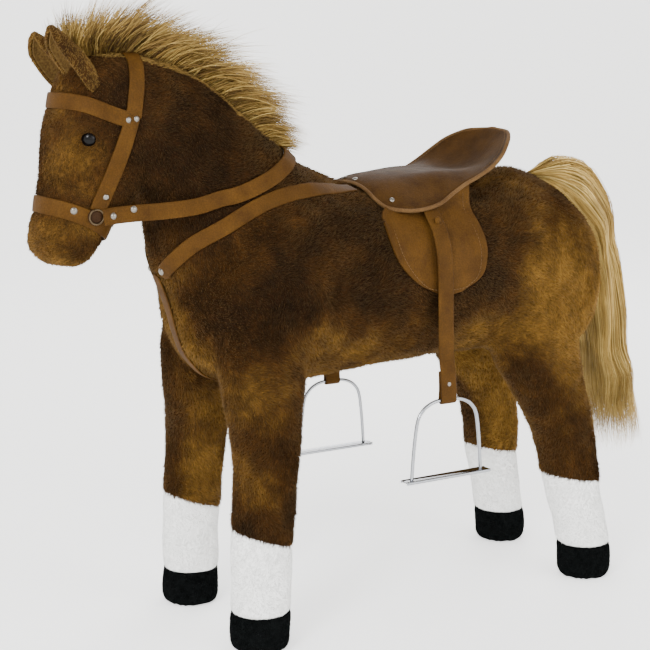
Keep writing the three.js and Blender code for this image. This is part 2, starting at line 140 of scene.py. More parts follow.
def add_floor():
    """A pale floor that turns up smoothly all round, so that no horizon shows."""
    turn = np.linspace(0, math.pi / 2, 14)
    radii = np.r_[0.001, 1.0, 2.0, FLOOR_RADIUS + BACKDROP_HEIGHT * np.sin(turn)]
    heights = np.r_[0.0, 0.0, 0.0, BACKDROP_HEIGHT * (1 - np.cos(turn))] - 0.5 * MM
    angles = np.linspace(0, 2 * math.pi, FLOOR_SIDES, endpoint=False)
    outline = np.stack([np.cos(angles), np.sin(angles), 0 * angles], axis=1)
    rings = radii[:, None, None] * outline + heights[:, None, None] * np.array((0, 0, 1))
    floor = mesh_object("floor", rings.reshape(-1, 3), grid_faces(len(radii), FLOOR_SIDES, True))
    nodes = Nodes("floor_paper")
    nodes.set(Base_Color=(0.92, 0.92, 0.91, 1), Roughness=0.9, Emission_Color=(1, 1, 1, 1),
              Emission_Strength=1.0)
    floor.data.materials.append(nodes.material)


# ---------- materials ----------


class Nodes:
    """A material's node tree, with short ways to add and join nodes."""

    def __init__(self, name):
        self.material = bpy.data.materials.new(name)
        self.material.use_nodes = True
        self.tree = self.material.node_tree
        self.shader = self.tree.nodes["Principled BSDF"]

    def put(self, socket, value):
        if isinstance(value, bpy.types.NodeSocket):
            self.tree.links.new(value, socket)
        else:
            socket.default_value = value

    def add(self, kind, inputs=None, **settings):
        node = self.tree.nodes.new("ShaderNode" + kind)
        for key, value in settings.items():
            setattr(node, key, value)
        for key, value in (inputs or {}).items():
            self.put(node.inputs[key], value)
        return node

    def set(self, **sockets):
        for key, value in sockets.items():
            self.put(self.shader.inputs[key.replace("_", " ")], value)
        return self.material

    def place(self):
        return self.add("TexCoord").outputs["Object"]

    def noise(self, scale, detail=3.0, roughness=0.55, vector=None):
        node = self.add("TexNoise", {"Vector": vector or self.place(), "Scale": scale,
                                     "Detail": detail, "Roughness": roughness})
        return node.outputs["Fac"]

    def ramp(self, fac, *stops):
        node = self.add("ValToRGB", {"Fac": fac})
        ramp = node.color_ramp
        while len(ramp.elements) < len(stops):
            ramp.elements.new(0.5)
        for element, (position, colour) in zip(ramp.elements, stops):
            element.position = position
            element.color = (*colour, 1)
        return node.outputs["Color"]

    def tufts(self, *stops):
        """A ramp over a value that differs from tuft to tuft."""
        return self.ramp(self.add("NewGeometry").outputs["Random Per Island"], *stops)

    def tinted(self, colour, tint):
        node = self.add("Mix", data_type="RGBA", blend_type="MULTIPLY")
        for index, value in ((0, 1.0), (6, colour), (7, tint)):
            self.put(node.inputs[index], value)
        return node.outputs[2]

    def spread(self, value, start, end, low=0.0, high=1.0):
        """Runs smoothly from low to high as the value goes from start to end."""
        node = self.add("MapRange", {"Value": value, "From Min": start, "From Max": end, "To Min": low,
                                     "To Max": high}, interpolation_type="SMOOTHSTEP")
        return node.outputs[0]

    def join(self, operation, *values):
        whole = values[0]
        for value in values[1:]:
            whole = self.add("Math", {0: whole, 1: value}, operation=operation).outputs[0]
        return whole

    def bump(self, height, distance):
        node = self.add("Bump", {"Height": height, "Distance": distance, "Strength": 1.0})
        self.put(self.shader.inputs["Normal"], node.outputs["Normal"])


def coat_tone_with_painted_light(nodes):
    """How golden the plush is painted from place to place: lighter on the face and more on the muzzle, with a
    painted highlight on the haunches, painted sheen along the front edge of the chest, painted fill light low
    on the body and on the inner faces of the legs, whose outer faces are a little darker, and broad patches
    that are partly the plush's own tone and partly painted sheen of the brushed pile.
    """
    axes = nodes.add("SeparateXYZ", {"Vector": nodes.place()})
    y, z = axes.outputs["Y"], axes.outputs["Z"]
    width = nodes.add("Math", {0: axes.outputs["X"]}, operation="ABSOLUTE").outputs[0]

    def along(start, end, low=0.0, high=1.0):
        return nodes.spread(y, FEET_MIDDLE + start, FEET_MIDDLE + end, low, high)

    base = along(-0.340, -0.385, -0.055, 0.020)
    snout = nodes.join("MULTIPLY", along(-0.36, -0.38), nodes.spread(z, 0.485, 0.455, 0.0, 0.17))
    # Painted highlight: the haunches are painted golden, less so on the top of the rump.
    haunch = nodes.join("MULTIPLY", along(0.07, 0.15), nodes.spread(z, 0.46, 0.39, 0.11, 0.25),
                        nodes.spread(z, 0.25, 0.32, 0.2, 1.0))
    # Painted fill light: the coat is painted lighter low on the body, where the underside lies in shade.
    belly_painted_fill = nodes.spread(z, 0.38, 0.31, 0.0, 0.13)
    # Painted sheen: a lighter golden strip down the front edge of the chest.
    breast = nodes.join("MULTIPLY", along(-0.25, -0.30), nodes.spread(z, 0.44, 0.38, 0.0, 0.16),
                        nodes.spread(width, 0.05, 0.02))
    # Painted light: the inner faces of the legs, which lie in shade, are painted lighter, and their outer
    # faces a little darker.
    legs = nodes.join("MULTIPLY", nodes.spread(width, 0.080, 0.050, -0.06, 0.15),
                      nodes.spread(z, 0.33, 0.22))
    # Broad patches, partly the plush's own tone and partly painted sheen of the brushed pile.
    patches = nodes.add("MapRange", {"Value": nodes.noise(10.0, 3.0, 0.6), "To Min": 0.14, "To Max": 0.86},
                        clamp=False).outputs[0]
    return nodes.join("ADD", patches, base, snout, haunch, belly_painted_fill, breast, legs)


def coat_colours(nodes, dark, middle, light):
    """Plush colour from the golden tone above, its painted highlight, painted sheen and painted fill light
    included, with finer mottling that is partly the plush's own tone and partly painted sheen of the brushed
    pile.
    """
    patches = nodes.ramp(coat_tone_with_painted_light(nodes), (0.40, dark), (0.54, middle), (0.80, light))
    # Finer mottling: partly the plush's own tone, partly painted sheen of the brushed pile.
    mottling_with_painted_sheen = nodes.ramp(nodes.noise(55.0, 3.0, 0.6), (0.3, (0.62, 0.60, 0.56)), (0.7, (1.30, 1.28, 1.22)))
    return nodes.tinted(patches, mottling_with_painted_sheen)


COAT_DARK = (0.0120, 0.0044, 0.0009)
COAT_MIDDLE = (0.036, 0.0148, 0.0028)
COAT_LIGHT = (0.165, 0.088, 0.0180)
COAT = (COAT_DARK, COAT_MIDDLE, COAT_LIGHT)
SOFT_SHEEN = {"Sheen_Roughness": 0.5, "Sheen_Tint": (0.80, 0.48, 0.15, 1)}


def coat_material():
    nodes = Nodes("coat_plush")
    nodes.bump(nodes.noise(420.0, 4.0, 0.7), 0.0012)
    # The plush colour holds a painted highlight, painted sheen and painted fill light.
    return nodes.set(Base_Color=coat_colours(nodes, *COAT), Roughness=0.95, Specular_IOR_Level=0.08,
                     Sheen_Weight=0.08, **SOFT_SHEEN)


def pile_material(name, dark, middle, light):
    nodes = Nodes(name)
    tint = nodes.tufts((0.0, (0.66, 0.64, 0.60)), (0.6, (1.0, 1.0, 1.0)), (1.0, (1.50, 1.46, 1.36)))
    # The plush colour holds a painted highlight, painted sheen and painted fill light.
    colour = nodes.tinted(coat_colours(nodes, dark, middle, light), tint)
    return nodes.set(Base_Color=colour, Roughness=0.8, Specular_IOR_Level=0.08, Sheen_Weight=0.08,
                     **SOFT_SHEEN)


def plain_pile_material(name, dark, light):
    """Short pile of one colour, each tuft a little different."""
    nodes = Nodes(name)
    return nodes.set(Base_Color=nodes.tufts((0.0, dark), (1.0, light)), Roughness=0.8,
                     Specular_IOR_Level=0.02)


def hair_material(name, dark, middle, light):
    nodes = Nodes(name)
    strand = nodes.tufts((0.0, dark), (0.5, middle), (1.0, light))
    locks = nodes.ramp(nodes.noise(22.0, 2.0), (0.3, (0.62, 0.58, 0.5)), (0.7, (1.25, 1.22, 1.15)))
    return nodes.set(Base_Color=nodes.tinted(strand, locks), Roughness=0.6, Specular_IOR_Level=0.2,
                     Sheen_Weight=0.1, **SOFT_SHEEN)


def sock_material():
    nodes = Nodes("white_plush")
    colour = nodes.ramp(nodes.noise(60.0, 3.0), (0.3, (0.88, 0.88, 0.86)), (0.7, (0.96, 0.96, 0.94)))
    nodes.bump(nodes.noise(700.0, 4.0, 0.7), 0.0008)
    return nodes.set(Base_Color=colour, Roughness=0.95, Sheen_Weight=0.3, Sheen_Roughness=0.4)


HOOF_DARK = (0.0012, 0.0014, 0.0014)


def hoof_material():
    nodes = Nodes("black_plush")
    colour = nodes.ramp(nodes.noise(160.0, 4.0, 0.7), (0.35, HOOF_DARK), (0.7, (0.006, 0.007, 0.007)))
    nodes.bump(nodes.noise(900.0, 4.0, 0.7), 0.0008)
    return nodes.set(Base_Color=colour, Roughness=0.95, Specular_IOR_Level=0.0)


def leather_material(name, dark, light):
    nodes = Nodes(name)
    cloudy = nodes.ramp(nodes.noise(38.0, 4.0, 0.6), (0.32, dark), (0.68, light))
    specks = nodes.ramp(nodes.noise(620.0, 2.0), (0.35, (0.80, 0.79, 0.78)), (0.65, (1.12, 1.1, 1.08)))
    grain = nodes.add("TexVoronoi", {"Vector": nodes.place(), "Scale": 750.0})
    nodes.bump(grain.outputs["Distance"], 0.00025)
    roughness = nodes.add("MapRange", {"Value": nodes.noise(90.0), "To Min": 0.58, "To Max": 0.80})
    return nodes.set(Base_Color=nodes.tinted(cloudy, specks), Roughness=roughness.outputs[0],
                     Specular_IOR_Level=0.07)


def metal_material(name, colour, roughness):
    nodes = Nodes(name)
    worn = nodes.add("MapRange", {"Value": nodes.noise(240.0, 4.0), "To Min": roughness,
                                  "To Max": roughness + 0.14})
    tone = nodes.ramp(nodes.noise(60.0), (0.3, tuple(0.9 * c for c in colour)), (0.7, colour))
    return nodes.set(Base_Color=tone, Metallic=1.0, Roughness=worn.outputs[0])


def cloth_material(name, dark, light, scale=1400.0):
    nodes = Nodes(name)
    nodes.bump(nodes.noise(scale, 2.0), 0.0002)
    return nodes.set(Base_Color=nodes.ramp(nodes.noise(scale, 2.0), (0.35, dark), (0.65, light)),
                     Roughness=0.9, Specular_IOR_Level=0.15)


def wood_material():
    nodes = Nodes("foot_board_wood")
    stretch = nodes.add("Mapping", {"Vector": nodes.place(), "Scale": (40.0, 4.0, 40.0)})
    grain = nodes.noise(6.0, 5.0, vector=stretch.outputs["Vector"])
    colour = nodes.ramp(grain, (0.3, (0.40, 0.26, 0.13)), (0.7, (0.62, 0.45, 0.26)))
    return nodes.set(Base_Color=colour, Roughness=0.7)


def eye_material():
    nodes = Nodes("eye_glass")
    colour = nodes.ramp(nodes.noise(300.0), (0.4, (0.0012, 0.0010, 0.0010)), (0.7, (0.004, 0.003, 0.003)))
    return nodes.set(Base_Color=colour, Roughness=0.05, Specular_IOR_Level=0.13)


MATERIALS = {}


def make_materials():
    for key, name, *tones in (
            ("pile", "coat_pile", *COAT),
            ("crest", "golden_pile", (0.140, 0.085, 0.024), (0.210, 0.135, 0.040), (0.300, 0.200, 0.066)),
            ("ear", "ear_pile", (0.075, 0.042, 0.011), (0.120, 0.070, 0.018), (0.200, 0.125, 0.036))):
        MATERIALS[key] = pile_material(name, *tones)
    for key, name, *tones in (
            ("tail", "tail_hair", (0.200, 0.118, 0.028), (0.420, 0.280, 0.074), (0.680, 0.510, 0.190)),
            ("hair", "golden_hair", (0.126, 0.070, 0.0155), (0.262, 0.165, 0.039), (0.530, 0.385, 0.130)),
            ("undercoat", "brown_hair", (0.045, 0.022, 0.005), (0.110, 0.062, 0.014), (0.210, 0.130, 0.034))):
        MATERIALS[key] = hair_material(name, *tones)
    for key, name, *tones in (
            ("leather", "tan_leatherette", (0.038, 0.0160, 0.0020), (0.064, 0.0285, 0.0040)),
            ("seat", "seat_leatherette", (0.025, 0.0105, 0.0016), (0.045, 0.0200, 0.0032)),
            ("under", "dark_leatherette", (0.018, 0.0080, 0.0030), (0.030, 0.0140, 0.0055)),
            ("edge", "cut_edge", (0.070, 0.036, 0.013), (0.105, 0.058, 0.022))):
        MATERIALS[key] = leather_material(name, *tones)
    MATERIALS.update(
        coat=coat_material(),
        sock=sock_material(),
        sock_pile=plain_pile_material("sock_pile", (0.84, 0.84, 0.82), (0.97, 0.97, 0.95)),
        hoof=hoof_material(),
        hoof_pile=plain_pile_material("hoof_pile", HOOF_DARK, (0.006, 0.0068, 0.0068)),
        thread=cloth_material("thread", (0.075, 0.040, 0.015), (0.12, 0.070, 0.028)),
        lining=cloth_material("ear_lining", (0.050, 0.026, 0.006), (0.100, 0.057, 0.014), 500.0),
        pad=cloth_material("pad_cloth", (0.008, 0.0045, 0.002), (0.018, 0.010, 0.005)),
        chrome=metal_material("bright_wire", (0.34, 0.35, 0.37), 0.12),
        stud=metal_material("stud_nickel", (0.20, 0.185, 0.16), 0.20),
        ring=metal_material("ring_bronze", (0.085, 0.060, 0.034), 0.22),
        steel=metal_material("frame_tube_steel", (0.20, 0.21, 0.22), 0.4),
        wood=wood_material(),
        eye=eye_material(),
    )


# ---------- mesh helpers ----------


def mesh_object(name, points, faces):
    """A smooth object from an (n, 3) array of points and an (m, 3 or 4) array of faces."""
    faces = np.asarray(faces, np.int32)
    mesh = bpy.data.meshes.new(name)
    count, corners = faces.shape
    mesh.vertices.add(len(points))
    mesh.vertices.foreach_set("co", np.asarray(points, np.float32).ravel())
    mesh.loops.add(count * corners)
    mesh.loops.foreach_set("vertex_index", faces.ravel())
    mesh.polygons.add(count)
    mesh.polygons.foreach_set("loop_start", np.arange(0, count * corners, corners, dtype=np.int32))
    mesh.update(calc_edges=True)
    return linked(name, mesh)


def finish_piece(thing, body, material, replaces=()):
    thing.data.materials.clear()
    thing.data.materials.append(MATERIALS[material])
    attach(thing, body)
    if replaces:
        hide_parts(*replaces)
    return thing


def with_modifiers(thing, *steps):
    """Applies modifiers, each given as (type, {setting: value})."""
    for kind, settings in steps:
        modifier = thing.modifiers.new(kind.lower(), kind)
        for key, value in settings.items():
            setattr(modifier, key, value)
    graph = bpy.context.evaluated_depsgraph_get()
    made = bpy.data.meshes.new_from_object(thing.evaluated_get(graph))
    thing.modifiers.clear()
    thing.data = made
    return thing


def points_of(thing):
    flat = np.zeros(len(thing.data.vertices) * 3, np.float32)
    thing.data.vertices.foreach_get("co", flat)
    return flat.reshape(-1, 3).astype(float)


def set_points(thing, points):
    thing.data.vertices.foreach_set("co", np.asarray(points, np.float32).ravel())
    thing.data.update()


def normals_of(thing):
    flat = np.zeros(len(thing.data.vertices) * 3, np.float32)
    thing.data.vertex_normals.foreach_get("vector", flat)
    return flat.reshape(-1, 3).astype(float)


def unit(vectors):
    vectors = np.asarray(vectors, float)
    length = np.linalg.norm(vectors, axis=-1, keepdims=True)
    return vectors / np.maximum(length, 1e-12)


def lengths_along(path):
    """The distance from the start of a path to each of its points."""
    return np.r_[0, np.cumsum(np.linalg.norm(np.diff(path, axis=0), axis=1))]


def smooth_line(points, count):
    """A Catmull-Rom curve through the points, resampled evenly to the given count."""
    points = np.asarray(points, float)
    padded = np.vstack([2 * points[0] - points[1], points, 2 * points[-1] - points[-2]])
    fine = []
    for i in range(len(points) - 1):
        a, b, c, d = padded[i:i + 4]
        t = np.linspace(0, 1, 16, endpoint=False)[:, None]
        fine.append(0.5 * (2 * b + (c - a) * t + (2 * a - 5 * b + 4 * c - d) * t ** 2
                           + (3 * b - a - 3 * c + d) * t ** 3))
    fine = np.vstack([*fine, points[-1:]])
    steps = lengths_along(fine)
    even = np.linspace(0, steps[-1], count)
    return np.stack([np.interp(even, steps, fine[:, k]) for k in range(fine.shape[1])], axis=1)


def grid_faces(rows, columns, closed=False):
    """Quads over a grid of points stored row by row; closed joins the last column to the first."""
    r = np.arange(rows - 1)[:, None]
    c = np.arange(columns if closed else columns - 1)[None, :]
    after = (c + 1) % columns
    quads = [r * columns + c, r * columns + after, (r + 1) * columns + after, (r + 1) * columns + c]
    return np.stack([np.broadcast_to(q, quads[0].shape).ravel() for q in quads], axis=1)


def circle(angles, side, other):
    return np.cos(angles)[:, None] * side + np.sin(angles)[:, None] * other


def tube(name, path, radius, sides=12, closed=False):
    """A round tube along a path of points; its open ends are drawn in to a dome."""
    count = len(path)
    ahead = np.roll(path, -1, axis=0) - np.roll(path, 1, axis=0)
    if not closed:
        ahead[0], ahead[-1] = path[1] - path[0], path[-1] - path[-2]
    along = unit(ahead)
    normal = np.cross(along[0], (0.3, 0.5, 0.8))
    frames = []
    for direction in along:
        normal = unit(normal - direction * np.dot(normal, direction))
        frames.append((normal, np.cross(direction, normal)))
    # In a closed tube, the turn that the carried frame gains on its way round is undone bit by bit.
    start, end = frames[0], frames[-1]
    twist = math.atan2(np.dot(end[0], start[1]), np.dot(end[0], start[0])) if closed else 0.0
    angles = np.linspace(0, 2 * math.pi, sides, endpoint=False)
    rings = [path[i] + radius * circle(angles - twist * i / count, u, v) for i, (u, v) in enumerate(frames)]
    if closed:
        loop = mesh_object(name, np.vstack(rings + rings[:1]), grid_faces(count + 1, sides, True))
        return with_modifiers(loop, ("WELD", {"merge_threshold": 1e-5}))
    first, last = ([path[i] + (rings[i] - path[i]) * math.cos(a) + sign * along[i] * radius * math.sin(a)
                    for a in (0.6, 1.1, 1.5)] for i, sign in ((0, -1), (-1, 1)))
    return ring_mesh(name, first[::-1] + rings + last)


def ring_mesh(name, rings):
    """A shape through rings of points, filled in at both ends."""
    return close_ends(mesh_object(name, np.vstack(rings), grid_faces(len(rings), len(rings[0]), True)))


def close_ends(thing):
    mesh = bmesh.new()
    mesh.from_mesh(thing.data)
    bmesh.ops.holes_fill(mesh, edges=[e for e in mesh.edges if e.is_boundary])
    bmesh.ops.recalc_face_normals(mesh, faces=mesh.faces)
    mesh.to_mesh(thing.data)
    mesh.free()
    thing.data.polygons.foreach_set("use_smooth", np.full(len(thing.data.polygons), True))
    return thing


def from_bmesh(name, source):
    mesh = bpy.data.meshes.new(name)
    source.to_mesh(mesh)
    source.free()
    return linked(name, mesh)


def linked(name, mesh):
    """An object for a new mesh, shaded smooth, in the scene."""
    mesh.polygons.foreach_set("use_smooth", np.full(len(mesh.polygons), True))
    thing = bpy.data.objects.new(name, mesh)
    scene.collection.objects.link(thing)
    return thing


# ---------- the plush skin ----------

VOXEL = 0.0042
SKIN_PARTS = ["torso", "neck", "head", "front_leg_tube", "hind_leg_tube", "spine_tube", "neck_tube"]
SKIN_PARTS += [f"{leg}_{part}" for leg in LEGS for part in ("leg", "sock", "hoof", "foot_board", "sole")]


def body_union():
    """All the stuffed sections, with what fills their inner channels, as one closed skin."""
    merged = bmesh.new()
    for part in SKIN_PARTS:
        merged.from_mesh(frame["nodes"][part].data)
    skin = from_bmesh("skin", merged)
    remesh = ("REMESH", {"mode": "VOXEL", "voxel_size": VOXEL})
    with_modifiers(skin, remesh)
    keep_largest(skin)
    return with_modifiers(skin, ("SMOOTH", {"factor": 0.5, "iterations": 14}), remesh,
                          ("SMOOTH", {"factor": 0.5, "iterations": 4}))


def keep_largest(thing):
    mesh = bmesh.new()
    mesh.from_mesh(thing.data)
    unseen, islands = set(mesh.verts), []
    while unseen:
        front = [unseen.pop()]
        island = list(front)
        while front:
            reached = {e.other_vert(v) for v in front for e in v.link_edges} & unseen
            unseen -= reached
            front = list(reached)
            island += front
        islands.append(island)
    islands.sort(key=len)
    bmesh.ops.delete(mesh, geom=[v for island in islands[:-1] for v in island], context="VERTS")
    mesh.to_mesh(thing.data)
    mesh.free()


# Soft swells and hollows, on both sides: x, y, z of the middle, reach, and height in millimetres.
SWELLS = [
    (20, -424, 446, 20, 4.0),    # muzzle
    (0, -428, 430, 16, 2.0),     # lip
    (15, -436, 452, 4, -3.0),    # nostril
    (20, -434, 458, 5, 1.6),     # its rim
    (36, -345, 503, 32, 4.0),    # jowl
    (42, -392, 562, 12, 2.4),    # brow
    (46, -392, 544, 12, -3.0),   # eye socket
    (36, -419, 503, 16, -1.6),   # hollow of the face
    (96, 180, 395, 68, 5.0),     # haunch
    (88, 150, 305, 40, 4.0),     # stifle
    (102, 84, 335, 42, -7.0),    # flank
    (94, -205, 385, 52, 4.0),    # shoulder
    (90, -138, 318, 30, -5.0),   # behind the elbow
    (55, -262, 325, 24, -4.0),   # beside the breast
    (60, -262, 455, 40, -3.0),   # foot of the neck
    (0, -92, 490, 42, 8.0),      # withers
    (0, 168, 486, 52, 10.0),     # croup
    (0, -300, 352, 46, 4.5),     # breast
]

# Creases in the plush: the points they run through, their width and their depth.
CREASES = [
    ([(0, -441, 438), (20, -433, 437), (30, -410, 437)], 2.4, 2.2),      # mouth
    ([(50, -228, 562), (58, -222, 540), (63, -228, 512)], 5, 2.6),
    ([(46, -204, 556), (58, -198, 528)], 5, 2.2),
    ([(56, -262, 540), (64, -256, 500)], 6, 2.0),
    ([(108, -150, 405), (109, -146, 350), (98, -150, 292)], 6, 3.2),     # edge of the foreleg panel
    ([(106, -176, 330), (104, -170, 292)], 5, 1.8),
    ([(104, 160, 228), (110, 188, 244), (100, 212, 262)], 5, 3.2),       # folds of the hock
    ([(102, 172, 204), (106, 205, 222)], 5, 2.6),
    ([(112, 96, 300), (104, 112, 272), (92, 122, 250)], 6, 2.6),
    ([(84, -238, 262), (96, -215, 250), (104, -190, 254)], 5, 1.8),
]


def distance_to_line(points, line):
    nearest = np.full(len(points), 1e9)
    for a, b in zip(line[:-1], line[1:]):
        t = np.clip((points - a) @ (b - a) / np.dot(b - a, b - a), 0, 1)
        nearest = np.minimum(nearest, np.linalg.norm(points - a - t[:, None] * (b - a), axis=1))
    return nearest


# The skin is drawn down onto the floor below this height, by this much at the sole.
SOLE_ZONE = 12 * MM
SOLE_DROP = 1.2 * MM


def sculpt(skin):
    points, normals = points_of(skin), normals_of(skin)
    raised = np.zeros(len(points))
    for x, y, z, reach, height in SWELLS:
        for sign in ((1, -1) if x else (1,)):
            d = np.linalg.norm(points - at(sign * x, y, z), axis=1) / (reach * MM)
            raised += height * MM * np.exp(-d ** 2)
    for line, width, depth in CREASES:
        for sign in (1, -1):
            d = distance_to_line(points, np.array([at(sign * x, y, z) for x, y, z in line])) / (width * MM)
            raised -= depth * MM * (np.exp(-d ** 2) - 0.45 * np.exp(-(d - 2.1) ** 2))
    lumps = 0.9 * waves(points, 0.09, 1) + 0.6 * waves(points, 0.045, 2)
    set_points(skin, points + normals * (raised + lumps * MM)[:, None])
    with_modifiers(skin, ("SMOOTH", {"factor": 0.4, "iterations": 2}))
    points = points_of(skin)
    low = points[:, 2] < SOLE_ZONE
    points[low, 2] = np.maximum(points[low, 2] - SOLE_DROP * (1 - points[low, 2] / SOLE_ZONE), 0)
    points[points[:, 2] < SOLE_DROP, 2] = 0
    set_points(skin, points)


def waves(points, scale, seed):
    """A smooth irregular field between about -1 and 1."""
    rng = np.random.default_rng(seed)
    turns = unit(rng.normal(size=(7, 3))) * rng.uniform(0.6, 1.6, (7, 1)) * 2 * math.pi / scale
    return np.sin(points @ turns.T + rng.uniform(0, 6.28, 7)).mean(axis=1) * 1.9


def sock_edge(points, leg):
    """Height above the slanted line where the white begins: it stands higher at the front."""
    return points[:, 2] - (SOCK_TOP - SOCK_SLOPE * (points[:, 1] - FOOT[leg][1]) * SLANT[leg])


SLANT = {"front_left": 1.0, "front_right": 1.0, "hind_left": 0.55, "hind_right": 0.55}
SOCK_TOP = 123.5 * MM
HOOF_TOP = 42 * MM


def leg_of(points):
    """For each point the number of its leg, and -1 for points above the legs."""
    feet = np.array([FOOT[leg] for leg in LEGS])
    near = np.argmin(np.linalg.norm(points[:, None, :2] - feet[None], axis=2), axis=1)
    return np.where(points[:, 2] < LEG_TOP, near, -1)


SOCK_SLOPE = 0.33
LEG_TOP = 175 * MM


def cut_seams(mesh, leg):
    """Cuts the skin of one leg at its sock and hoof seams."""
    middle = Vector((*FOOT[leg], SOCK_TOP))
    for place, normal in ((middle, Vector((0, SOCK_SLOPE * SLANT[leg], 1))),
                          (Vector((*FOOT[leg], HOOF_TOP)), Vector((0, 0, 1)))):
        near = [f for f in mesh.faces if (f.calc_center_median() - middle).length < 130 * MM
                and f.calc_center_median().z < LEG_TOP]
        edges = list({e for f in near for e in f.edges})
        points = list({v for f in near for v in f.verts})
        bmesh.ops.bisect_plane(mesh, geom=near + edges + points, plane_co=place, plane_no=normal, dist=1e-5)


def split_legs(skin):
    """Cuts the skin cleanly at the sock and hoof seams, and returns the closed sections."""
    mesh = bmesh.new()
    mesh.from_mesh(skin.data)
    for leg in LEGS:
        cut_seams(mesh, leg)
    mesh.faces.ensure_lookup_table()
    centres = np.array([f.calc_center_median() for f in mesh.faces])
    legs = leg_of(centres)
    label = np.full(len(centres), "coat", dtype=object)
    for i, leg in enumerate(LEGS):
        mine = legs == i
        label[mine & (sock_edge(centres, leg) < 0)] = leg + "_sock"
        label[mine & (centres[:, 2] < HOOF_TOP)] = leg + "_hoof"
    sections = {}
    for name in ["coat"] + [f"{leg}_{part}" for leg in LEGS for part in ("sock", "hoof")]:
        part = mesh.copy()
        part.faces.ensure_lookup_table()
        others = [f for f, mine in zip(part.faces, label == name) if not mine]
        bmesh.ops.delete(part, geom=others, context="FACES")
        draw_in(part, {v for e in part.edges if e.is_boundary for v in e.verts})
        bmesh.ops.holes_fill(part, edges=[e for e in part.edges if e.is_boundary])
        bmesh.ops.triangulate(part, faces=[f for f in part.faces if len(f.verts) > 4])
        bmesh.ops.recalc_face_normals(part, faces=part.faces)
        sections[name] = from_bmesh(name + "_skin", part)
    mesh.free()
    return sections


SEAM_REACH = 8 * MM


def draw_in(part, rims):
    """Pulls a seam in towards the middle of the leg, so that the plush dips at its stitches."""
    tree = KDTree(len(rims))
    for i, v in enumerate(rims):
        tree.insert(v.co, i)
    tree.balance()
    for v in part.verts:
        distance = tree.find(v.co)[2]
        if v.co.z < 0.2 and distance < SEAM_REACH:
            inward = min((Vector((x - v.co.x, y - v.co.y, 0)) for x, y in FOOT.values()),
                         key=lambda way: way.length)
            v.co += inward.normalized() * 1.6 * MM * math.exp(-(distance / (2.6 * MM)) ** 2)


# ---------- tack on the skin ----------


class Skin:
    """The finished plush surface, for laying things on it."""

    def __init__(self, thing):
        self.tree = BVHTree.FromObject(thing, bpy.context.evaluated_depsgraph_get())

    def near(self, points):
        """The nearest points of the skin and their outward normals."""
        found = [self.tree.find_nearest(Vector(p)) for p in points]
        return np.array([f[0] for f in found]), np.array([f[1] for f in found])

    def cast(self, origins, directions):
        found = [self.tree.ray_cast(Vector(o), Vector(d)) for o, d in zip(origins, directions)]
        return np.array([f[0] for f in found]), np.array([f[1] for f in found])


def soften(rows, times=2, closed=False):
    """Evens out a list of directions or points, keeping its ends unless it is a closed loop."""
    rows = np.array(rows, float)
    for _ in range(times):
        even = 0.5 * rows + 0.25 * (np.roll(rows, 1, axis=0) + np.roll(rows, -1, axis=0))
        if not closed:
            even[0], even[-1] = rows[0], rows[-1]
        rows = even
    return rows


STRAP_WIDTH = 17 * MM
STRAP_THICKNESS = 2.0 * MM


def strap(name, path, normals, width=STRAP_WIDTH, thickness=STRAP_THICKNESS, closed=False,
          round_ends=(False, False)):
    """A flat strap with softly rounded edges, standing on the path with its face along the normals."""
    count = len(path)
    if closed:
        along = unit(np.roll(path, -1, axis=0) - np.roll(path, 1, axis=0))
    else:
        along = unit(np.gradient(path, axis=0))
    across = unit(np.cross(normals, along))
    up = unit(np.cross(along, across))
    steps = lengths_along(path)
    scale = np.ones(count)
    half = width / 2
    for rounded, distance in zip(round_ends, (steps, steps[-1] - steps)):
        if rounded:
            inside = np.clip(distance / half, 0, 1)
            scale = np.minimum(scale, np.sqrt(np.clip(1 - (1 - inside) ** 2, 0.02, 1)))
    t = thickness
    edge = [(-half, 0.15 * t), (-half, 0.65 * t), (-half + 0.25 * t, 0.92 * t), (-half + 0.8 * t, t)]
    top = edge + [(-0.3 * half, 1.07 * t), (0.3 * half, 1.07 * t)] + [(-u, v) for u, v in edge[::-1]]
    profile = np.array(top + [(half - 0.3 * t, 0), (0, 0), (-half + 0.3 * t, 0)])
    rings = (path[:, None] + across[:, None] * (profile[None, :, 0] * scale[:, None])[..., None]
             + up[:, None] * profile[None, :, 1][..., None])
    faces = grid_faces(count, len(profile), True)
    if closed:
        last = (count - 1) * len(profile)
        k = np.arange(len(profile))
        after = (k + 1) % len(profile)
        faces = np.vstack([faces, np.stack([last + k, last + after, after, k], axis=1)])
    return close_ends(mesh_object(name, rings.reshape(-1, 3), faces))


def laid_path(skin, points, count, lift):
    """A strap's path through side-view points, laid on the skin: its points and its normals."""
    places = smooth_line([at(*p) for p in points], count)
    for _ in range(3):
        places, normals = skin.near(soften(places, 24))
    normals = unit(soften(normals, 16))
    path = places + normals * lift * MM
    for _ in range(5):
        path = soften(path, 14)
        places, out = skin.near(path)
        height = ((path - places) * out).sum(1)
        path = path + out * np.maximum(0, lift * MM - height)[:, None]
    return soften(path, 5), normals


def ring_path(skin, centre, spokes, count, lift, closed=False):
    """A path round the head: spokes are (angle from straight ahead, height) in degrees and millimetres."""
    angles = [s[0] for s in spokes]
    theta = np.linspace(angles[0], angles[-1], count, endpoint=not closed)
    heights = soften(np.interp(theta, angles, [s[1] for s in spokes]), 40)
    origins = np.array([at(0, centre, z) for z in heights])
    turn = np.radians(theta)
    directions = np.stack([np.sin(turn), -np.cos(turn), np.zeros(count)], axis=1)
    places, normals = skin.cast(origins, directions)
    normals = unit(0.5 * directions + normals * np.sign((normals * directions).sum(1))[:, None])
    normals = unit(soften(normals, 8, closed))
    return soften(places + normals * lift * MM, 6, closed), normals


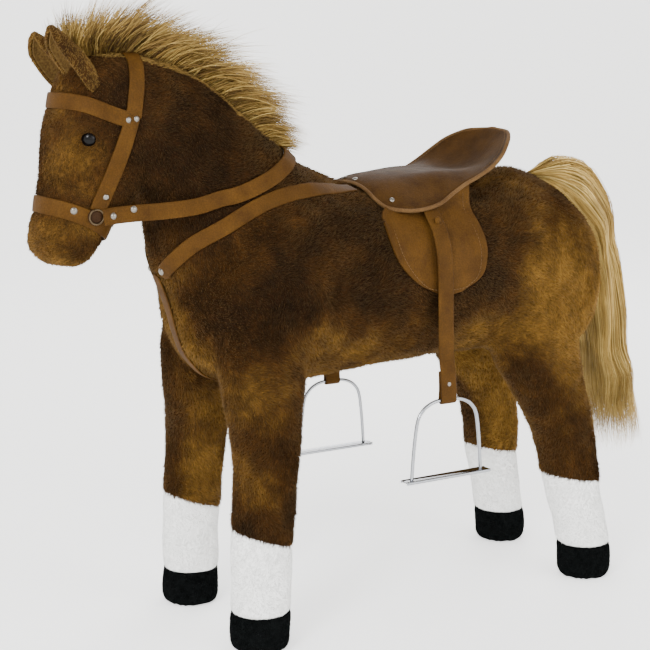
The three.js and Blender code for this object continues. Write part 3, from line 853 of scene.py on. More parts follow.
def stud(name, place, normal, radius=3.4 * MM, height=1.7 * MM):
    """A domed rivet head with a thin flat rim."""
    normal = unit(normal)
    side = unit(np.cross(normal, (0.21, 0.37, 0.9)))
    other = np.cross(normal, side)
    profile = [(1.0, 0.0), (1.0, 0.18), (0.93, 0.26), (0.86, 0.24)]
    profile += [(0.84 * math.cos(a), 0.26 + 0.74 * math.sin(a)) for a in np.linspace(0.05, 1.5, 7)]
    angles = np.linspace(0, 2 * math.pi, 28, endpoint=False)
    return ring_mesh(name, [place + radius * r * circle(angles, side, other) + normal * height * h
                            for r, h in profile])


def add_stud(name, body, place, normal, radius=3.4 * MM, height=1.7 * MM, replaces=()):
    return finish_piece(stud(name, place, normal, radius, height), body, "stud", replaces)


STITCH_PITCH = 4.2 * MM
THREAD_RADIUS = 0.38 * MM


def stitches(name, path, normals, lift):
    """A row of short thread stitches along a path."""
    steps = lengths_along(path)
    starts = np.arange(STITCH_PITCH / 2, steps[-1] - STITCH_PITCH, STITCH_PITCH)
    routes = []
    for rise, offset in ((0.0, 0), (1.0, 0.2), (1.0, 0.55), (0.0, 0.75)):
        s = starts + offset * STITCH_PITCH
        place, out = (np.stack([np.interp(s, steps, values[:, k]) for k in range(3)], axis=1)
                      for values in (path, normals))
        routes.append(place + unit(out) * (lift + rise * 0.45 * MM - 0.2 * MM))
    thread = strands(name, np.stack(routes, axis=1), np.full(len(starts), THREAD_RADIUS), pointed=False)
    return finish_piece(thread, "horse", "thread")


# ---------- pile and hair ----------


def strands(name, paths, radii, flat=1.0, sides=4, pointed=True):
    """Thin closed strands along (strand, step) paths, thickest near the root and drawn to a tip."""
    count, steps, _ = paths.shape
    along = unit(np.gradient(paths, axis=1))
    side = unit(np.cross(along, unit(along[:, :1] + (0.31, 0.17, 0.23))))
    up = np.cross(side, along)
    t = np.linspace(0, 1, steps)
    taper = (1 - 0.92 * t ** 2.2) if pointed else np.array([0.7] + [1.0] * (steps - 2) + [0.7])
    reach = radii[:, None] * taper[None]
    angles = np.linspace(0, 2 * math.pi, sides, endpoint=False)
    rings = (paths[:, :, None] + side[:, :, None] * (np.cos(angles) * reach[..., None])[..., None]
             + up[:, :, None] * (flat * np.sin(angles) * reach[..., None])[..., None])
    quads = grid_faces(steps, sides, True)
    triangles = np.vstack([quads[:, [0, 1, 2]], quads[:, [0, 2, 3]]])
    last = (steps - 1) * sides
    caps = [(0, k + 1, k) for k in range(1, sides - 1)]
    caps += [(last, last + k, last + k + 1) for k in range(1, sides - 1)]
    triangles = np.vstack([triangles, caps])
    faces = (np.arange(count)[:, None, None] * steps * sides + triangles[None]).reshape(-1, 3)
    return mesh_object(name, rings.reshape(-1, 3), faces)


def spikes(name, roots, directions, across, lengths, widths):
    """Short tufts: closed four-sided spikes, a little flattened."""
    other = unit(np.cross(directions, across))
    side = unit(np.cross(other, directions))
    base = roots - directions * 0.6 * MM
    corners = [base + side * widths[:, None], base + (-0.5 * side + 0.55 * other) * widths[:, None],
               base + (-0.5 * side - 0.55 * other) * widths[:, None], base + directions * lengths[:, None]]
    points = np.stack(corners, axis=1).reshape(-1, 3)
    triangles = np.array([(0, 1, 3), (1, 2, 3), (2, 0, 3), (0, 2, 1)])
    faces = (np.arange(len(roots))[:, None, None] * 4 + triangles[None]).reshape(-1, 3)
    return mesh_object(name, points, faces)


def scatter(thing, spacing, seed):
    """Even random points on a surface, one for each spacing squared: points and smooth normals."""
    mesh = thing.data
    mesh.calc_loop_triangles()
    corners = np.zeros(len(mesh.loop_triangles) * 3, np.int32)
    mesh.loop_triangles.foreach_get("vertices", corners)
    corners = corners.reshape(-1, 3)
    points, normals = points_of(thing), normals_of(thing)
    a, b, c = (points[corners[:, k]] for k in range(3))
    area = np.linalg.norm(np.cross(b - a, c - a), axis=1) / 2
    rng = np.random.default_rng(seed)
    count = int(area.sum() / spacing ** 2)
    pick = rng.choice(len(area), count, p=area / area.sum())
    u, v = rng.random(count), rng.random(count)
    over = u + v > 1
    u[over], v[over] = 1 - u[over], 1 - v[over]
    weights = np.stack([1 - u - v, u, v], axis=1)[..., None]
    chosen = corners[pick]
    return (points[chosen] * weights).sum(1), unit((normals[chosen] * weights).sum(1)), rng


def fade(values, start, end):
    t = np.clip((values - start) / (end - start), 0, 1)
    return t * t * (3 - 2 * t)


def nap_flow(points, normals):
    """The direction in which the pile is brushed, with the swirls that hands leave in plush."""
    y, z = points[:, 1] - FEET_MIDDLE, points[:, 2]
    head = fade(-y, 0.300, 0.360) * fade(z, 0.38, 0.43)
    leg = fade(-z, -0.300, -0.240)
    rump = fade(y, 0.10, 0.22)
    flow = np.zeros_like(points) + (0, 0.85, -0.5)
    for weight, way in ((rump, (0, 0.35, -0.9)), (leg, (0, 0.12, -1.0)), (head, (0, -0.3, -0.95))):
        flow = flow * (1 - weight[:, None]) + np.array(way) * weight[:, None]
    flow = unit(flow - normals * (flow * normals).sum(1)[:, None])
    turn = 1.0 * waves(points, 0.12, 11) + 0.6 * waves(points, 0.05, 12)
    other = np.cross(normals, flow)
    return flow * np.cos(turn)[:, None] + other * np.sin(turn)[:, None]


def clear_of_tack(cover, roots, normals, directions, lengths):
    """Drops the tufts under straps and shortens those that would grow into one."""
    kept = np.array(lengths)
    for i in range(len(roots)):
        root = Vector(roots[i])
        above = cover.ray_cast(root - Vector(normals[i]) * 2 * MM, Vector(normals[i]), 9 * MM)[3]
        if above is not None:
            kept[i] = 0
            continue
        ahead = cover.ray_cast(root, Vector(directions[i]), kept[i])[3]
        if ahead is not None:
            kept[i] = 0.85 * ahead
    return kept


PIECE_TUFTS = 47000
SHORTEST_TUFT = 1.2 * MM


def add_pile(name, source, material, spacing, length, width, cover, seed, stand=0.5, where=None):
    """Covers a piece, or the part of it where the test holds, with short pile."""
    roots, normals, rng = scatter(source, spacing, seed)
    if where:
        wanted = where(roots)
        roots, normals = roots[wanted], normals[wanted]
    flow = nap_flow(roots, normals)
    lift = stand + 0.22 * waves(roots, 0.06, 21)
    directions = unit(flow * 0.85 + normals * lift[:, None] + rng.normal(0, 0.16, roots.shape))
    lengths = (length(roots) if callable(length) else length) * rng.uniform(0.7, 1.2, len(roots))
    lengths = clear_of_tack(cover, roots, normals, directions, lengths)
    keep = (lengths > SHORTEST_TUFT) & (roots[:, 2] > 1.5 * MM)
    low = roots[:, 2] < 8 * MM
    directions[low, 2] = np.maximum(directions[low, 2], -0.1)
    roots, directions, lengths = (v[keep] for v in (roots, directions, lengths))
    widths = width * rng.uniform(0.7, 1.25, len(roots))
    across = unit(np.cross(directions, rng.normal(size=roots.shape)))
    parts = math.ceil(len(roots) / PIECE_TUFTS)
    order = np.argsort(roots[:, 1], kind="stable")
    for i, chosen in enumerate(np.array_split(order, parts)):
        label = name if parts == 1 else f"{name}_{i + 1}"
        pile = spikes(label, *(v[chosen] for v in (roots, directions, across, lengths, widths)))
        finish_piece(pile, "horse", material)


def on_crest_band(points):
    """The golden band of pile beside the mane."""
    line = np.array([at(0, y, z) for y, z, _ in CREST[2:]])
    away = distance_to_line(points, line) + 2.5 * MM * waves(points, 0.06, 33)
    return (away > 11 * MM) & (away < 25 * MM) & (points[:, 2] > 0.45)


FACE_PILE = 4.0 * MM
BODY_PILE = 6.0 * MM


def coat_length(points):
    """The pile is shorter on the head than on the body."""
    return FACE_PILE + (BODY_PILE - FACE_PILE) * (1 - fade(-points[:, 1] + FEET_MIDDLE, 0.290, 0.350))


def lay_coat(sections, cover):
    coat = sections["coat"]
    add_pile("coat_pile", coat, "pile", 1.58 * MM, coat_length, 0.90 * MM, cover, 31,
             where=lambda p: ~on_crest_band(p))
    add_pile("crest_pile", coat, "crest", 1.45 * MM, 5.0 * MM, 0.85 * MM, cover, 32,
             where=on_crest_band)
    for i, leg in enumerate(LEGS):
        for part, length, seed in (("sock", 2.6 * MM, 41), ("hoof", 2.4 * MM, 51)):
            add_pile(f"{leg}_{part}_pile", sections[f"{leg}_{part}"], part + "_pile",
                     1.35 * MM, length, 0.7 * MM, cover, seed + i)


def finish_sections(sections):
    stands_for = {"coat": ["torso", "neck", "head"] + [f"{leg}_leg" for leg in LEGS]}
    for leg in LEGS:
        stands_for[leg + "_sock"] = [leg + "_sock"]
        stands_for[leg + "_hoof"] = [leg + "_hoof", leg + "_sole"]
    for name, nodes in stands_for.items():
        part = name.split("_")[-1]
        finish_piece(sections[name], "horse", part, nodes)


# ---------- ears and eyes ----------

EAR_BASE = (26, -374, 602)
EAR_TIP = {1: (28, -419, 650), -1: (30, -415, 645)}
EAR_OPENING = {1: (0.05, -1.0, 0.0), -1: (0.15, -1.0, 0.0)}


EAR_HALF_WIDTH = 17.0 * MM
EAR_GRID = (26, 24)


def ear_leaf(name, sign, inset, push, thickness):
    """A cupped leaf with its hollow facing forward; inset narrows it and push moves it forward."""
    base, tip = at(sign * EAR_BASE[0], *EAR_BASE[1:]), at(sign * EAR_TIP[sign][0], *EAR_TIP[sign][1:])
    along = unit(tip - base)
    opening = np.array(EAR_OPENING[sign])
    front = unit(opening - along * np.dot(opening, along))
    across = np.cross(along, front)
    length = np.linalg.norm(tip - base) + 4 * MM
    v = np.linspace(0, 1, EAR_GRID[0])[:, None]
    u = np.linspace(-1, 1, EAR_GRID[1])[None, :]
    rounding = np.sqrt(np.clip(1 - (np.maximum(v - 0.74, 0) / 0.26) ** 2, 0.02, 1))
    half = EAR_HALF_WIDTH * np.sin(math.pi * (0.22 + 0.66 * v)) ** 0.7 * rounding - inset
    half = np.maximum(half, 0.8 * MM)
    curl = 1.45 + 0.45 * (1 - v) ** 2
    side = np.sin(u * curl) / np.sin(curl) * half
    depth = (1 - np.cos(u * curl)) / curl * half * 1.9
    lean = 5 * MM * np.sin(math.pi * v)
    reach = inset + v * (length - 2 * inset)
    points = (base + reach[..., None] * along + side[..., None] * across
              + (depth + push - lean)[..., None] * front)
    leaf = mesh_object(name, points.reshape(-1, 3), grid_faces(*EAR_GRID))
    return with_modifiers(leaf, ("SUBSURF", {"levels": 1, "render_levels": 1}),
                          ("SOLIDIFY", {"thickness": thickness, "offset": 0.0}))


def add_ears(cover):
    for side, sign in SIDES.items():
        outer = ear_leaf(f"{side}_ear_back", sign, 0, 0, 4.2 * MM)
        finish_piece(outer, "horse", "coat", [f"{side}_ear"])
        inner = ear_leaf(f"{side}_ear_lining", sign, 3.2 * MM, 2.6 * MM, 1.6 * MM)
        finish_piece(inner, "horse", "lining")
        add_pile(f"{side}_ear_pile", outer, "ear", 1.4 * MM, 2.6 * MM, 0.65 * MM, cover,
                 61 + sign, stand=0.3)


def lathe(name, profile, centre, axis):
    """A closed turned shape: profile is (distance along the axis, radius) from end to end."""
    axis = unit(axis)
    side = unit(np.cross(axis, (0.2, 0.3, 0.93)))
    angles = np.linspace(0, 2 * math.pi, 40, endpoint=False)
    round_axis = circle(angles, side, np.cross(axis, side))
    return ring_mesh(name, [centre + axis * h + max(r, 1e-5) * round_axis for h, r in profile])


EYE_RADIUS = 9.2 * MM


def add_eyes(skin):
    for side, sign in SIDES.items():
        centre = cad_middle(f"{side}_eye") + (0, 4.5 * MM, 0)
        places, normals = skin.cast([centre + (sign * 0.1, 0, 0)], [(-sign, 0, 0)])
        out = unit(normals[0] + (sign * 0.9, -0.25, 0.0))
        seat = places[0] - out * 3.0 * MM
        dome = [(EYE_RADIUS * math.sin(a), EYE_RADIUS * math.cos(a)) for a in np.linspace(-0.5, 1.54, 24)]
        rim = [(EYE_RADIUS * (0.27 + 0.09 * math.sin(a)), EYE_RADIUS * (1.03 + 0.12 * math.cos(a)))
               for a in np.linspace(0, 2 * math.pi, 15)]
        for part, profile, replaces in (("ball", dome, [f"{side}_eye"]), ("rim", rim, ())):
            turned = lathe(f"{side}_eye_{part}", profile, seat, out)
            finish_piece(turned, "horse", "eye", replaces)


# ---------- bridle, breastplate and reins ----------


def add_strap(name, body, path, normals, replaces=(), **shape):
    piece = strap(name, path, normals, **shape)
    return finish_piece(piece, body, "leather", replaces)


def mirror(points):
    return [(-x, y, z) for x, y, z in points]


CHEEK = [(38, -383, 474), (41, -374, 497), (45, -366, 516), (47, -352, 548), (46, -343, 572)]
BROW_SPOKES = [(-92, 563), (-70, 568), (-45, 579), (-20, 582), (20, 582), (45, 579), (70, 568), (92, 563)]
NOSE_SPOKES = [(-180, 447), (-130, 452), (-90, 467), (-50, 477), (0, 481),
               (50, 477), (90, 467), (130, 452), (180, 447)]
HALF_POLL = [(46, -344, 566), (46, -340, 590), (41, -336, 611), (26, -333, 627)]
POLL = HALF_POLL + [(0, -332, 633)] + mirror(HALF_POLL[::-1])
BREAST = [(34, -76, 498), (58, -126, 493), (76, -173, 491), (91, -226, 477), (94, -268, 457), (78, -298, 441),
          (46, -308, 419), (12, -306, 399)]
CHEST = [(0, -306, 400), (0, -300, 372), (0, -288, 340), (0, -262, 306), (0, -228, 284)]
REIN = [(41, -378, 467), (43, -366, 468.5), (47, -348, 470), (51, -325, 471), (57, -300, 473)]
REIN_ON_NECK = [(62, -281, 475), (66, -225, 490), (60, -183, 509), (37, -156, 527), (0, -146, 538)]


def add_ring(side, sign, skin):
    """The bit ring, standing off the cheek on a round leather patch."""
    places, out = skin.near([cad_middle(f"{side}_bit_ring")])
    out = unit(out[0] + (sign, 0, 0))
    u = unit(np.cross(out, (0, 0, 1)))
    angles = np.linspace(0, 2 * math.pi, 40, endpoint=False)
    loop = places[0] + out * 4.6 * MM + 7.4 * MM * circle(angles, u, np.cross(out, u))
    ring = tube(f"{side}_ring", loop, 0.85 * MM, closed=True)
    finish_piece(ring, "horse", "ring", [f"{side}_bit_ring"])
    patch = stud(f"{side}_ring_patch", places[0] + out * 2.4 * MM, out, 8.6 * MM, 1.4 * MM)
    finish_piece(patch, "horse", "under")


BRIDLE_STUDS = {"brow": (46, -351, 563), "brow_upper": (46, -342, 564), "cheek": (40, -375, 488),
                "nose": (33, -406, 475)}


def add_bridle(skin):
    for side, sign in SIDES.items():
        path, normals = laid_path(skin, CHEEK if sign > 0 else mirror(CHEEK), 40, 0.9)
        add_strap(f"{side}_cheek_leather", "horse", path, normals, [f"{side}_cheek_strap"])
        add_ring(side, sign, skin)
    path, normals = laid_path(skin, POLL, 90, 1.2)
    add_strap("headpiece_leather", "horse", path, normals, ["headpiece"])
    path, normals = ring_path(skin, -352, BROW_SPOKES, 90, 0.9)
    add_strap("browband_leather", "horse", path, normals, ["browband"], width=16 * MM)
    path, normals = ring_path(skin, -392, NOSE_SPOKES, 120, 0.7, closed=True)
    add_strap("noseband_leather", "horse", path, normals, ["noseband"], closed=True)
    for side, sign in SIDES.items():
        for name, (x, y, z) in BRIDLE_STUDS.items():
            places, normals = skin.near([at(sign * x, y, z)])
            add_stud(f"{side}_{name}_stud", "horse", places[0] + normals[0] * 2.6 * MM, normals[0])


def add_breastplate(skin):
    for side, sign in SIDES.items():
        path, normals = laid_path(skin, BREAST if sign > 0 else mirror(BREAST), 110, 0.8)
        add_strap(f"{side}_breast_leather", "horse", path, normals, [f"{side}_breast_strap"],
                  round_ends=(False, True))
        places, out = skin.near([at(sign * 15, -305, 404)])
        add_stud(f"{side}_breast_rivet", "horse", places[0] + out[0] * 2.8 * MM, out[0], 3.8 * MM, 2.0 * MM,
                 [f"{side}_breast_stud"])
    path, normals = laid_path(skin, CHEST, 60, 1.6)
    add_strap("chest_leather", "horse", path, normals, ["chest_strap"], width=15 * MM,
              round_ends=(True, True))


def add_reins(skin):
    """One loop from ring to ring, hanging free from the mouth to the neck and lying on the neck."""
    free = np.array([at(*p) for p in REIN])
    on_neck = smooth_line([at(*p) for p in REIN_ON_NECK], 40)
    places, out = skin.near(on_neck)
    laid = places + unit(soften(out, 6)) * 3.6 * MM
    half = smooth_line(np.vstack([free, laid]), 110)
    out = skin.near(half)[1]
    y = half[:, 1] - FEET_MIDDLE
    weight = fade(y, -0.310, -0.265)[:, None]
    normals = unit(out * weight + np.array((1.0, -0.05, 0.1)) * (1 - weight))
    flip = np.array((-1, 1, 1))
    path = np.vstack([half, half[-2::-1] * flip])
    normals = soften(np.vstack([normals, normals[-2::-1] * flip]), 8)
    add_strap("rein_loop", "reins", soften(path, 4), unit(normals), ["reins"])
    for side, sign in SIDES.items():
        for i, along in enumerate((-368, -349)):
            nearest = half[int(np.argmin(np.abs(y - along * MM)))]
            place = nearest * (sign, 1, 1) + np.array((sign * 2.0, 0, 4.5 * i)) * MM
            add_stud(f"{side}_rein_stud_{i + 1}", "reins", place, (sign, -0.05, 0.1))


# ---------- saddle ----------

# Seat stations: y, height at the middle, half width, height at the edge.
SEAT = np.array([
    (-66, 490, 56, 475), (-60, 493, 73, 466), (-42, 497, 86, 463), (-20, 499, 88, 464), (2, 500, 86, 469),
    (22, 500, 82, 479), (42, 500, 78, 488), (64, 501, 76, 497), (82, 504, 75, 507), (98, 511, 71, 519),
    (112, 520, 62, 531.5), (122, 528.5, 52, 538.5), (130, 535.5, 40, 543.5), (136, 544, 25, 545),
    (139, 546.8, 8, 545.8)], float)
SEAT_COLUMNS = 49


def seat_rise(y, middle, half, edge, u):
    """The seat's height at the share u of its half width: thigh rolls in front, a scoop behind."""
    z = middle + (edge - middle) * np.abs(u) ** 2.3
    roll = np.exp(-((np.abs(u) * half - 50) / 19) ** 2) * np.exp(-((y - 20) / 48) ** 2)
    scoop = np.exp(-(u * half / 44) ** 2) * np.exp(-((y - 96) / 30) ** 2)
    return z + 5.5 * roll - 6.5 * scoop


def seat_height(y, x):
    """The seat's height over points of the side view at a distance x from the middle."""
    stations = smooth_line(SEAT, 56)
    middle, half, edge = (np.interp(y, stations[:, 0], stations[:, k]) for k in (1, 2, 3))
    return seat_rise(y, middle, half, edge, np.clip(x / half, 0, 1))


def seat_grid(rows=56, drop=0.0, inset=0.0):
    stations = smooth_line(SEAT, rows)
    u = np.linspace(-1, 1, SEAT_COLUMNS)[None, :]
    y, middle, half, edge = (stations[:, k, None] for k in range(4))
    z = seat_rise(y, middle, half, edge, u) - drop
    x = u * np.maximum(half - inset, 0.5)
    return np.stack([x * MM, np.broadcast_to(y, x.shape) * MM + FEET_MIDDLE, z * MM], axis=2)


def rim_of(grid):
    """The outline of a grid of points, once round."""
    return np.vstack([grid[0], grid[1:, -1], grid[-1, -2::-1], grid[-2:0:-1, 0]])


SEAT_STUDS = {"tip": (12, -63, 0.25), "rim": (70, -52, 0.75)}


def add_seat():
    top, bottom = seat_grid(), seat_grid(drop=4.2, inset=0.6)
    rows, columns, _ = top.shape
    faces = grid_faces(rows, columns)
    count = rows * columns
    border = rim_of(np.arange(count).reshape(rows, columns, 1)).ravel()
    after = np.roll(border, -1)
    wall = np.stack([border, after, after + count, border + count], axis=1)
    seat = mesh_object("seat_leather", np.vstack([top.reshape(-1, 3), bottom.reshape(-1, 3)]),
                       np.vstack([faces, faces[:, ::-1] + count, wall]))
    finish_piece(close_ends(seat), "horse", "seat", ["saddle_seat"])
    rim = rim_of(seat_grid(rows=90, drop=2.0))
    rim = soften(smooth_line(np.vstack([rim, rim[:1]]), 420)[:-1], 4, closed=True)
    finish_piece(tube("seat_piping", rim, 2.3 * MM, closed=True), "horse", "edge")
    inner = seat_grid(rows=90, inset=7.0)[6:-9]
    for side, column in (("left", -1), ("right", 0)):
        line = inner[:, column]
        stitches(f"{side}_seat_stitching", line, np.tile((0.0, 0.0, 1.0), (len(line), 1)), 0.1 * MM)
    spots = top.reshape(-1, 3)
    for side, sign in SIDES.items():
        for name, (x, y, outward) in SEAT_STUDS.items():
            away = np.linalg.norm(spots[:, :2] - (sign * x * MM, y * MM + FEET_MIDDLE), axis=1)
            add_stud(f"{side}_saddle_{name}_stud", "horse", spots[np.argmin(away)],
                     (sign * outward, -0.15, 0.75), 3.2 * MM)


def add_pad():
    """The stuffed panel between the seat and the back."""
    pad = linked("saddle_panel", frame["nodes"]["saddle_pad"].data.copy())
    with_modifiers(pad, ("REMESH", {"mode": "VOXEL", "voxel_size": 0.004}),
                   ("SMOOTH", {"factor": 0.5, "iterations": 10}))
    points = points_of(pad)
    front = points[:, 1].min()
    points[:, 0] *= 0.82
    points[:, 1] = front + (points[:, 1] - front) * 0.74
    y = (points[:, 1] - FEET_MIDDLE) / MM
    points[:, 2] = np.minimum(points[:, 2], (seat_height(y, np.abs(points[:, 0]) / MM) - 6.5) * MM)
    channels = np.abs(np.sin(points[:, 1] / 0.018 * math.pi)) ** 0.5
    points += normals_of(pad) * ((channels - 0.9) * 1.6 * MM)[:, None]
    set_points(pad, points)
    with_modifiers(pad, ("SUBSURF", {"levels": 1, "render_levels": 1}))
    finish_piece(pad, "horse", "pad", ["saddle_pad"])


FLAP_FRONT = [(-64, 474), (-74, 459), (-73, 430), (-61, 404), (-44, 386), (-22, 373)]
FLAP_REAR = [(48, 492), (49, 462), (52, 434), (52.5, 410), (44, 387), (16, 371)]
RIM_X = 74


FLAP_GRID = (44, 40)


def flap_grid(skin, sign):
    rows, columns = FLAP_GRID
    front, rear = (smooth_line(edge, rows) for edge in (FLAP_FRONT, FLAP_REAR))
    share = np.linspace(0, 1, columns)
    line = front[:, None] * (1 - share[None, :, None]) + rear[:, None] * share[None, :, None]
    sag = -3.0 * np.sin(math.pi * share)[None, :] * np.linspace(0, 1, rows)[:, None] ** 6
    y, z = line[..., 0], line[..., 1] + sag
    limit = seat_height(y[0], RIM_X) - 5.5
    z = z[-1] + (z - z[-1]) * np.minimum(1, (limit - z[-1]) / (z[0] - z[-1]))
    origins = np.array([at(sign * 200, a, b) for a, b in zip(y.ravel(), np.minimum(z.ravel(), 452))])
    hits, _ = skin.cast(origins, np.tile((-sign, 0.0, 0.0), (len(origins), 1)))
    lying = np.abs(hits[:, 0]) + 1.6 * MM
    x = lying + (RIM_X * MM - lying) * fade(z.ravel(), 446, 466)
    points = np.stack([sign * x, y.ravel() * MM + FEET_MIDDLE, z.ravel() * MM], axis=1)
    return points.reshape(rows, columns, 3)


def add_flaps(skin):
    for side, sign in SIDES.items():
        grid = flap_grid(skin, sign)
        x = grid[..., 0]
        for _ in range(4):
            x[1:-1, 1:-1] = 0.25 * (x[2:, 1:-1] + x[:-2, 1:-1] + x[1:-1, 2:] + x[1:-1, :-2])
        faces = grid_faces(*FLAP_GRID)
        flap = mesh_object(f"{side}_flap_leather", grid.reshape(-1, 3), faces if sign > 0 else faces[:, ::-1])
        outward = 1 if (normals_of(flap)[:, 0] * sign).mean() > 0 else -1
        with_modifiers(flap, ("SOLIDIFY", {"thickness": 2.4 * MM * outward, "offset": 1.0}),
                       ("BEVEL", {"width": 0.7 * MM, "segments": 3, "limit_method": "ANGLE",
                                  "angle_limit": 0.8}))
        finish_piece(close_ends(flap), "horse", "leather", [f"{side}_flap"])
        hem = np.vstack([grid[2:-4, 3], grid[-4, 4:-4], grid[-5:1:-1, -4]])
        stitches(f"{side}_flap_stitching", hem, np.tile((float(sign), 0.0, 0.0), (len(hem), 1)), 2.5 * MM)


LEATHER_Y = -11
HANG = 122
# The stirrup leather from the pivot down: x and z in millimetres.
LEATHER_LINE = [(80.5, 467), (84.4, 461.8), (94.4, 450), (104, 438), (111.8, 418), (115.3, 396),
                (116.6, 372), (117.5, 340), (119.5, 300)]
LEATHER_LOOP = 3.3
# The covered rivet that the leather hangs from: distance along its axis and radius, in metres.
RIVET = [(0, 0.002), (0.0135, 0.002), (0.0136, 0.0042), (0.0146, 0.0041), (0.0153, 0.003), (0.0157, 0.0)]


def leather_path(end):
    """Down from the pivot, round under the stirrup wire and back up behind: (x, z) pairs."""
    loop = [(HANG + LEATHER_LOOP * math.cos(a), end + LEATHER_LOOP * math.sin(a))
            for a in np.linspace(0.35, -math.pi - 0.25, 14)]
    before, behind = [(122.6, end + 30), (124.4, end + 12)], [(119.6, end + 12), (118.6, end + 32)]
    return LEATHER_LINE + before + loop + behind


def add_leathers():
    for side, sign in SIDES.items():
        body = f"{side}_leather"
        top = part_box(f"{side}_stirrup_arch")[1].z - 2 * MM
        line = smooth_line([at(sign * x, LEATHER_Y, z) for x, z in leather_path(top / MM)], 240)
        out = np.cross((0.0, 1.0, 0.0), unit(np.gradient(line, axis=0))) * -1
        if out[0, 0] * sign < 0:
            out = -out
        add_strap(f"{side}_leather_strap", body, line - out * 1.0 * MM, out, [f"{side}_stirrup_leather"],
                  width=20 * MM, thickness=2.1 * MM, round_ends=(True, False))
        place = at(sign * 124.0, LEATHER_Y, 0) + (0, 0, top + 18 * MM)
        add_stud(f"{side}_leather_stud", body, place, (sign, 0, 0.1))
        centre = cad_middle(f"{side}_leather_rivet")
        centre[0] = sign * 85 * MM
        pin = lathe(f"{side}_hanger_rivet", RIVET, centre, (sign, 0, 0))
        finish_piece(pin, "horse", "leather", [f"{side}_leather_rivet"])
        add_stirrup(side, sign, top)


# Half of the stirrup wire: y from its middle and z above the tread, in millimetres.
ARCH = [(0, 84), (10, 84), (15.5, 83.6), (24, 81), (33, 75), (40, 63), (44.2, 34), (47, -1)]
# The section of the tread, a channel open below with a ridge along each side: x and z in millimetres.
RIDGE = [(-7.5, -2.6), (-7.5, -0.2), (-6.9, 0.5), (-5.8, 0.7), (-5.0, 0.2)]
TREAD = RIDGE + [(-x, z) for x, z in RIDGE[::-1]] + [(6.5, -2.6), (6.3, -1.2), (-6.3, -1.2), (-6.5, -2.6)]
TREAD_STEPS = 40


def add_stirrup(side, sign, top):
    body = f"{side}_stirrup"
    foot = (0, 0, top - ARCH[0][1] * MM)
    half = np.array([at(sign * HANG, LEATHER_Y + y, z) + foot for y, z in ARCH])
    mirrored = half[::-1].copy()
    mirrored[:, 1] = 2 * (LEATHER_Y * MM + FEET_MIDDLE) - mirrored[:, 1]
    wire = tube(f"{side}_stirrup_wire", smooth_line(np.vstack([mirrored[:-1], half]), 150), 2.0 * MM, 16)
    finish_piece(wire, body, "chrome", [f"{side}_stirrup_arch"])
    shares = [0.9] + [1.0] * (TREAD_STEPS - 2) + [0.9]
    tread = ring_mesh(f"{side}_tread_bar",
                      [[at(sign * HANG + x * share, LEATHER_Y + y, z - 1.6) + foot for x, z in TREAD]
                       for y, share in zip(np.linspace(-57, 57, TREAD_STEPS), shares)])
    with_modifiers(tread, ("BEVEL", {"width": 0.25 * MM, "segments": 2, "limit_method": "ANGLE",
                                     "angle_limit": 0.6}))
    finish_piece(tread, body, "chrome", [f"{side}_stirrup_tread"])


# ---------- mane and tail ----------

# Along the crest: y and z of the hair's roots, and the length of the hair there, in millimetres.
CREST = [(-392, 617, 54), (-372, 628, 68), (-350, 632, 70), (-325, 631, 67), (-293, 623, 68), (-262, 609, 71),
         (-236, 592, 69), (-210, 572, 61), (-188, 555, 48), (-170, 541, 38), (-158, 531, 28)]

# For each layer of the mane: strands, share of the length, thinnest and thickest strand, material.
MANE_LAYERS = {"mane_undercoat": (3000, 0.70, 0.45, 0.80, "undercoat"),
               "mane_hair": (4200, 1.0, 0.30, 0.58, "hair")}
MANE_STEPS = 8
CREST_STEPS = 400
LOCK_STEPS = 9

# The hair behind this y, where the reins are lifted over the crest, is made a piece of its own with its own
# mesh.
MANE_END = -222


def mane_paths(rng, skin, line, count, share):
    """The paths of one layer of hair, and the y at which each strand stands on the crest."""
    slope = unit(np.gradient(line[:, :2], axis=0))
    which = rng.integers(0, CREST_STEPS, count)
    y, z, length = line[which].T
    across = np.clip(rng.normal(0, 0.45, count), -1, 1)
    places, out = skin.near(np.stack([across * 10 * MM, y * MM + FEET_MIDDLE, (z - 3) * MM], axis=1))
    roots = places - out * 1.0 * MM
    lock = which // LOCK_STEPS * 3 + np.digitize(across, (-0.3, 0.3))
    locks = lock.max() + 1

    def of_lock(spread):
        return rng.normal(0, spread, locks)[lock]

    ahead = slope[which]
    up = np.stack([np.zeros(count), -ahead[:, 1], ahead[:, 0]], axis=1)
    up *= np.sign(up[:, 2:])
    back = np.stack([np.zeros(count), ahead[:, 0], ahead[:, 1]], axis=1)
    back *= np.sign(back[:, 1:2])
    forelock = 1 - fade(y, -372, -345)
    lean = 0.42 + of_lock(0.20) + rng.normal(0, 0.13, count)
    lean = lean * (1 - forelock) + (-0.20 + of_lock(0.30)) * forelock
    sideways = across * 0.75 + of_lock(0.16) + rng.normal(0, 0.10, count)
    start = unit(up + back * (lean * 0.8)[:, None] + np.array((1.0, 0, 0)) * sideways[:, None])
    reach = length * share * MM * rng.uniform(0.74, 1.06, count) * (1 + of_lock(0.10))
    size = np.maximum(np.bincount(lock, minlength=locks), 1)
    centre = np.stack([np.bincount(lock, roots[:, k], locks) / size for k in range(3)], axis=1)[lock]
    t = np.linspace(0, 1, MANE_STEPS)[None, :, None]
    droop = np.array((0, 0.12, -1.0)) * 0.22 + back[:, None] * 0.36
    curl = rng.normal(0, 0.09, (count, 1, 3))
    bend = start[:, None] * t + (droop + curl) * t ** 2.2
    return roots[:, None] + reach[:, None, None] * bend + (centre - roots)[:, None] * 0.55 * t ** 1.6, y


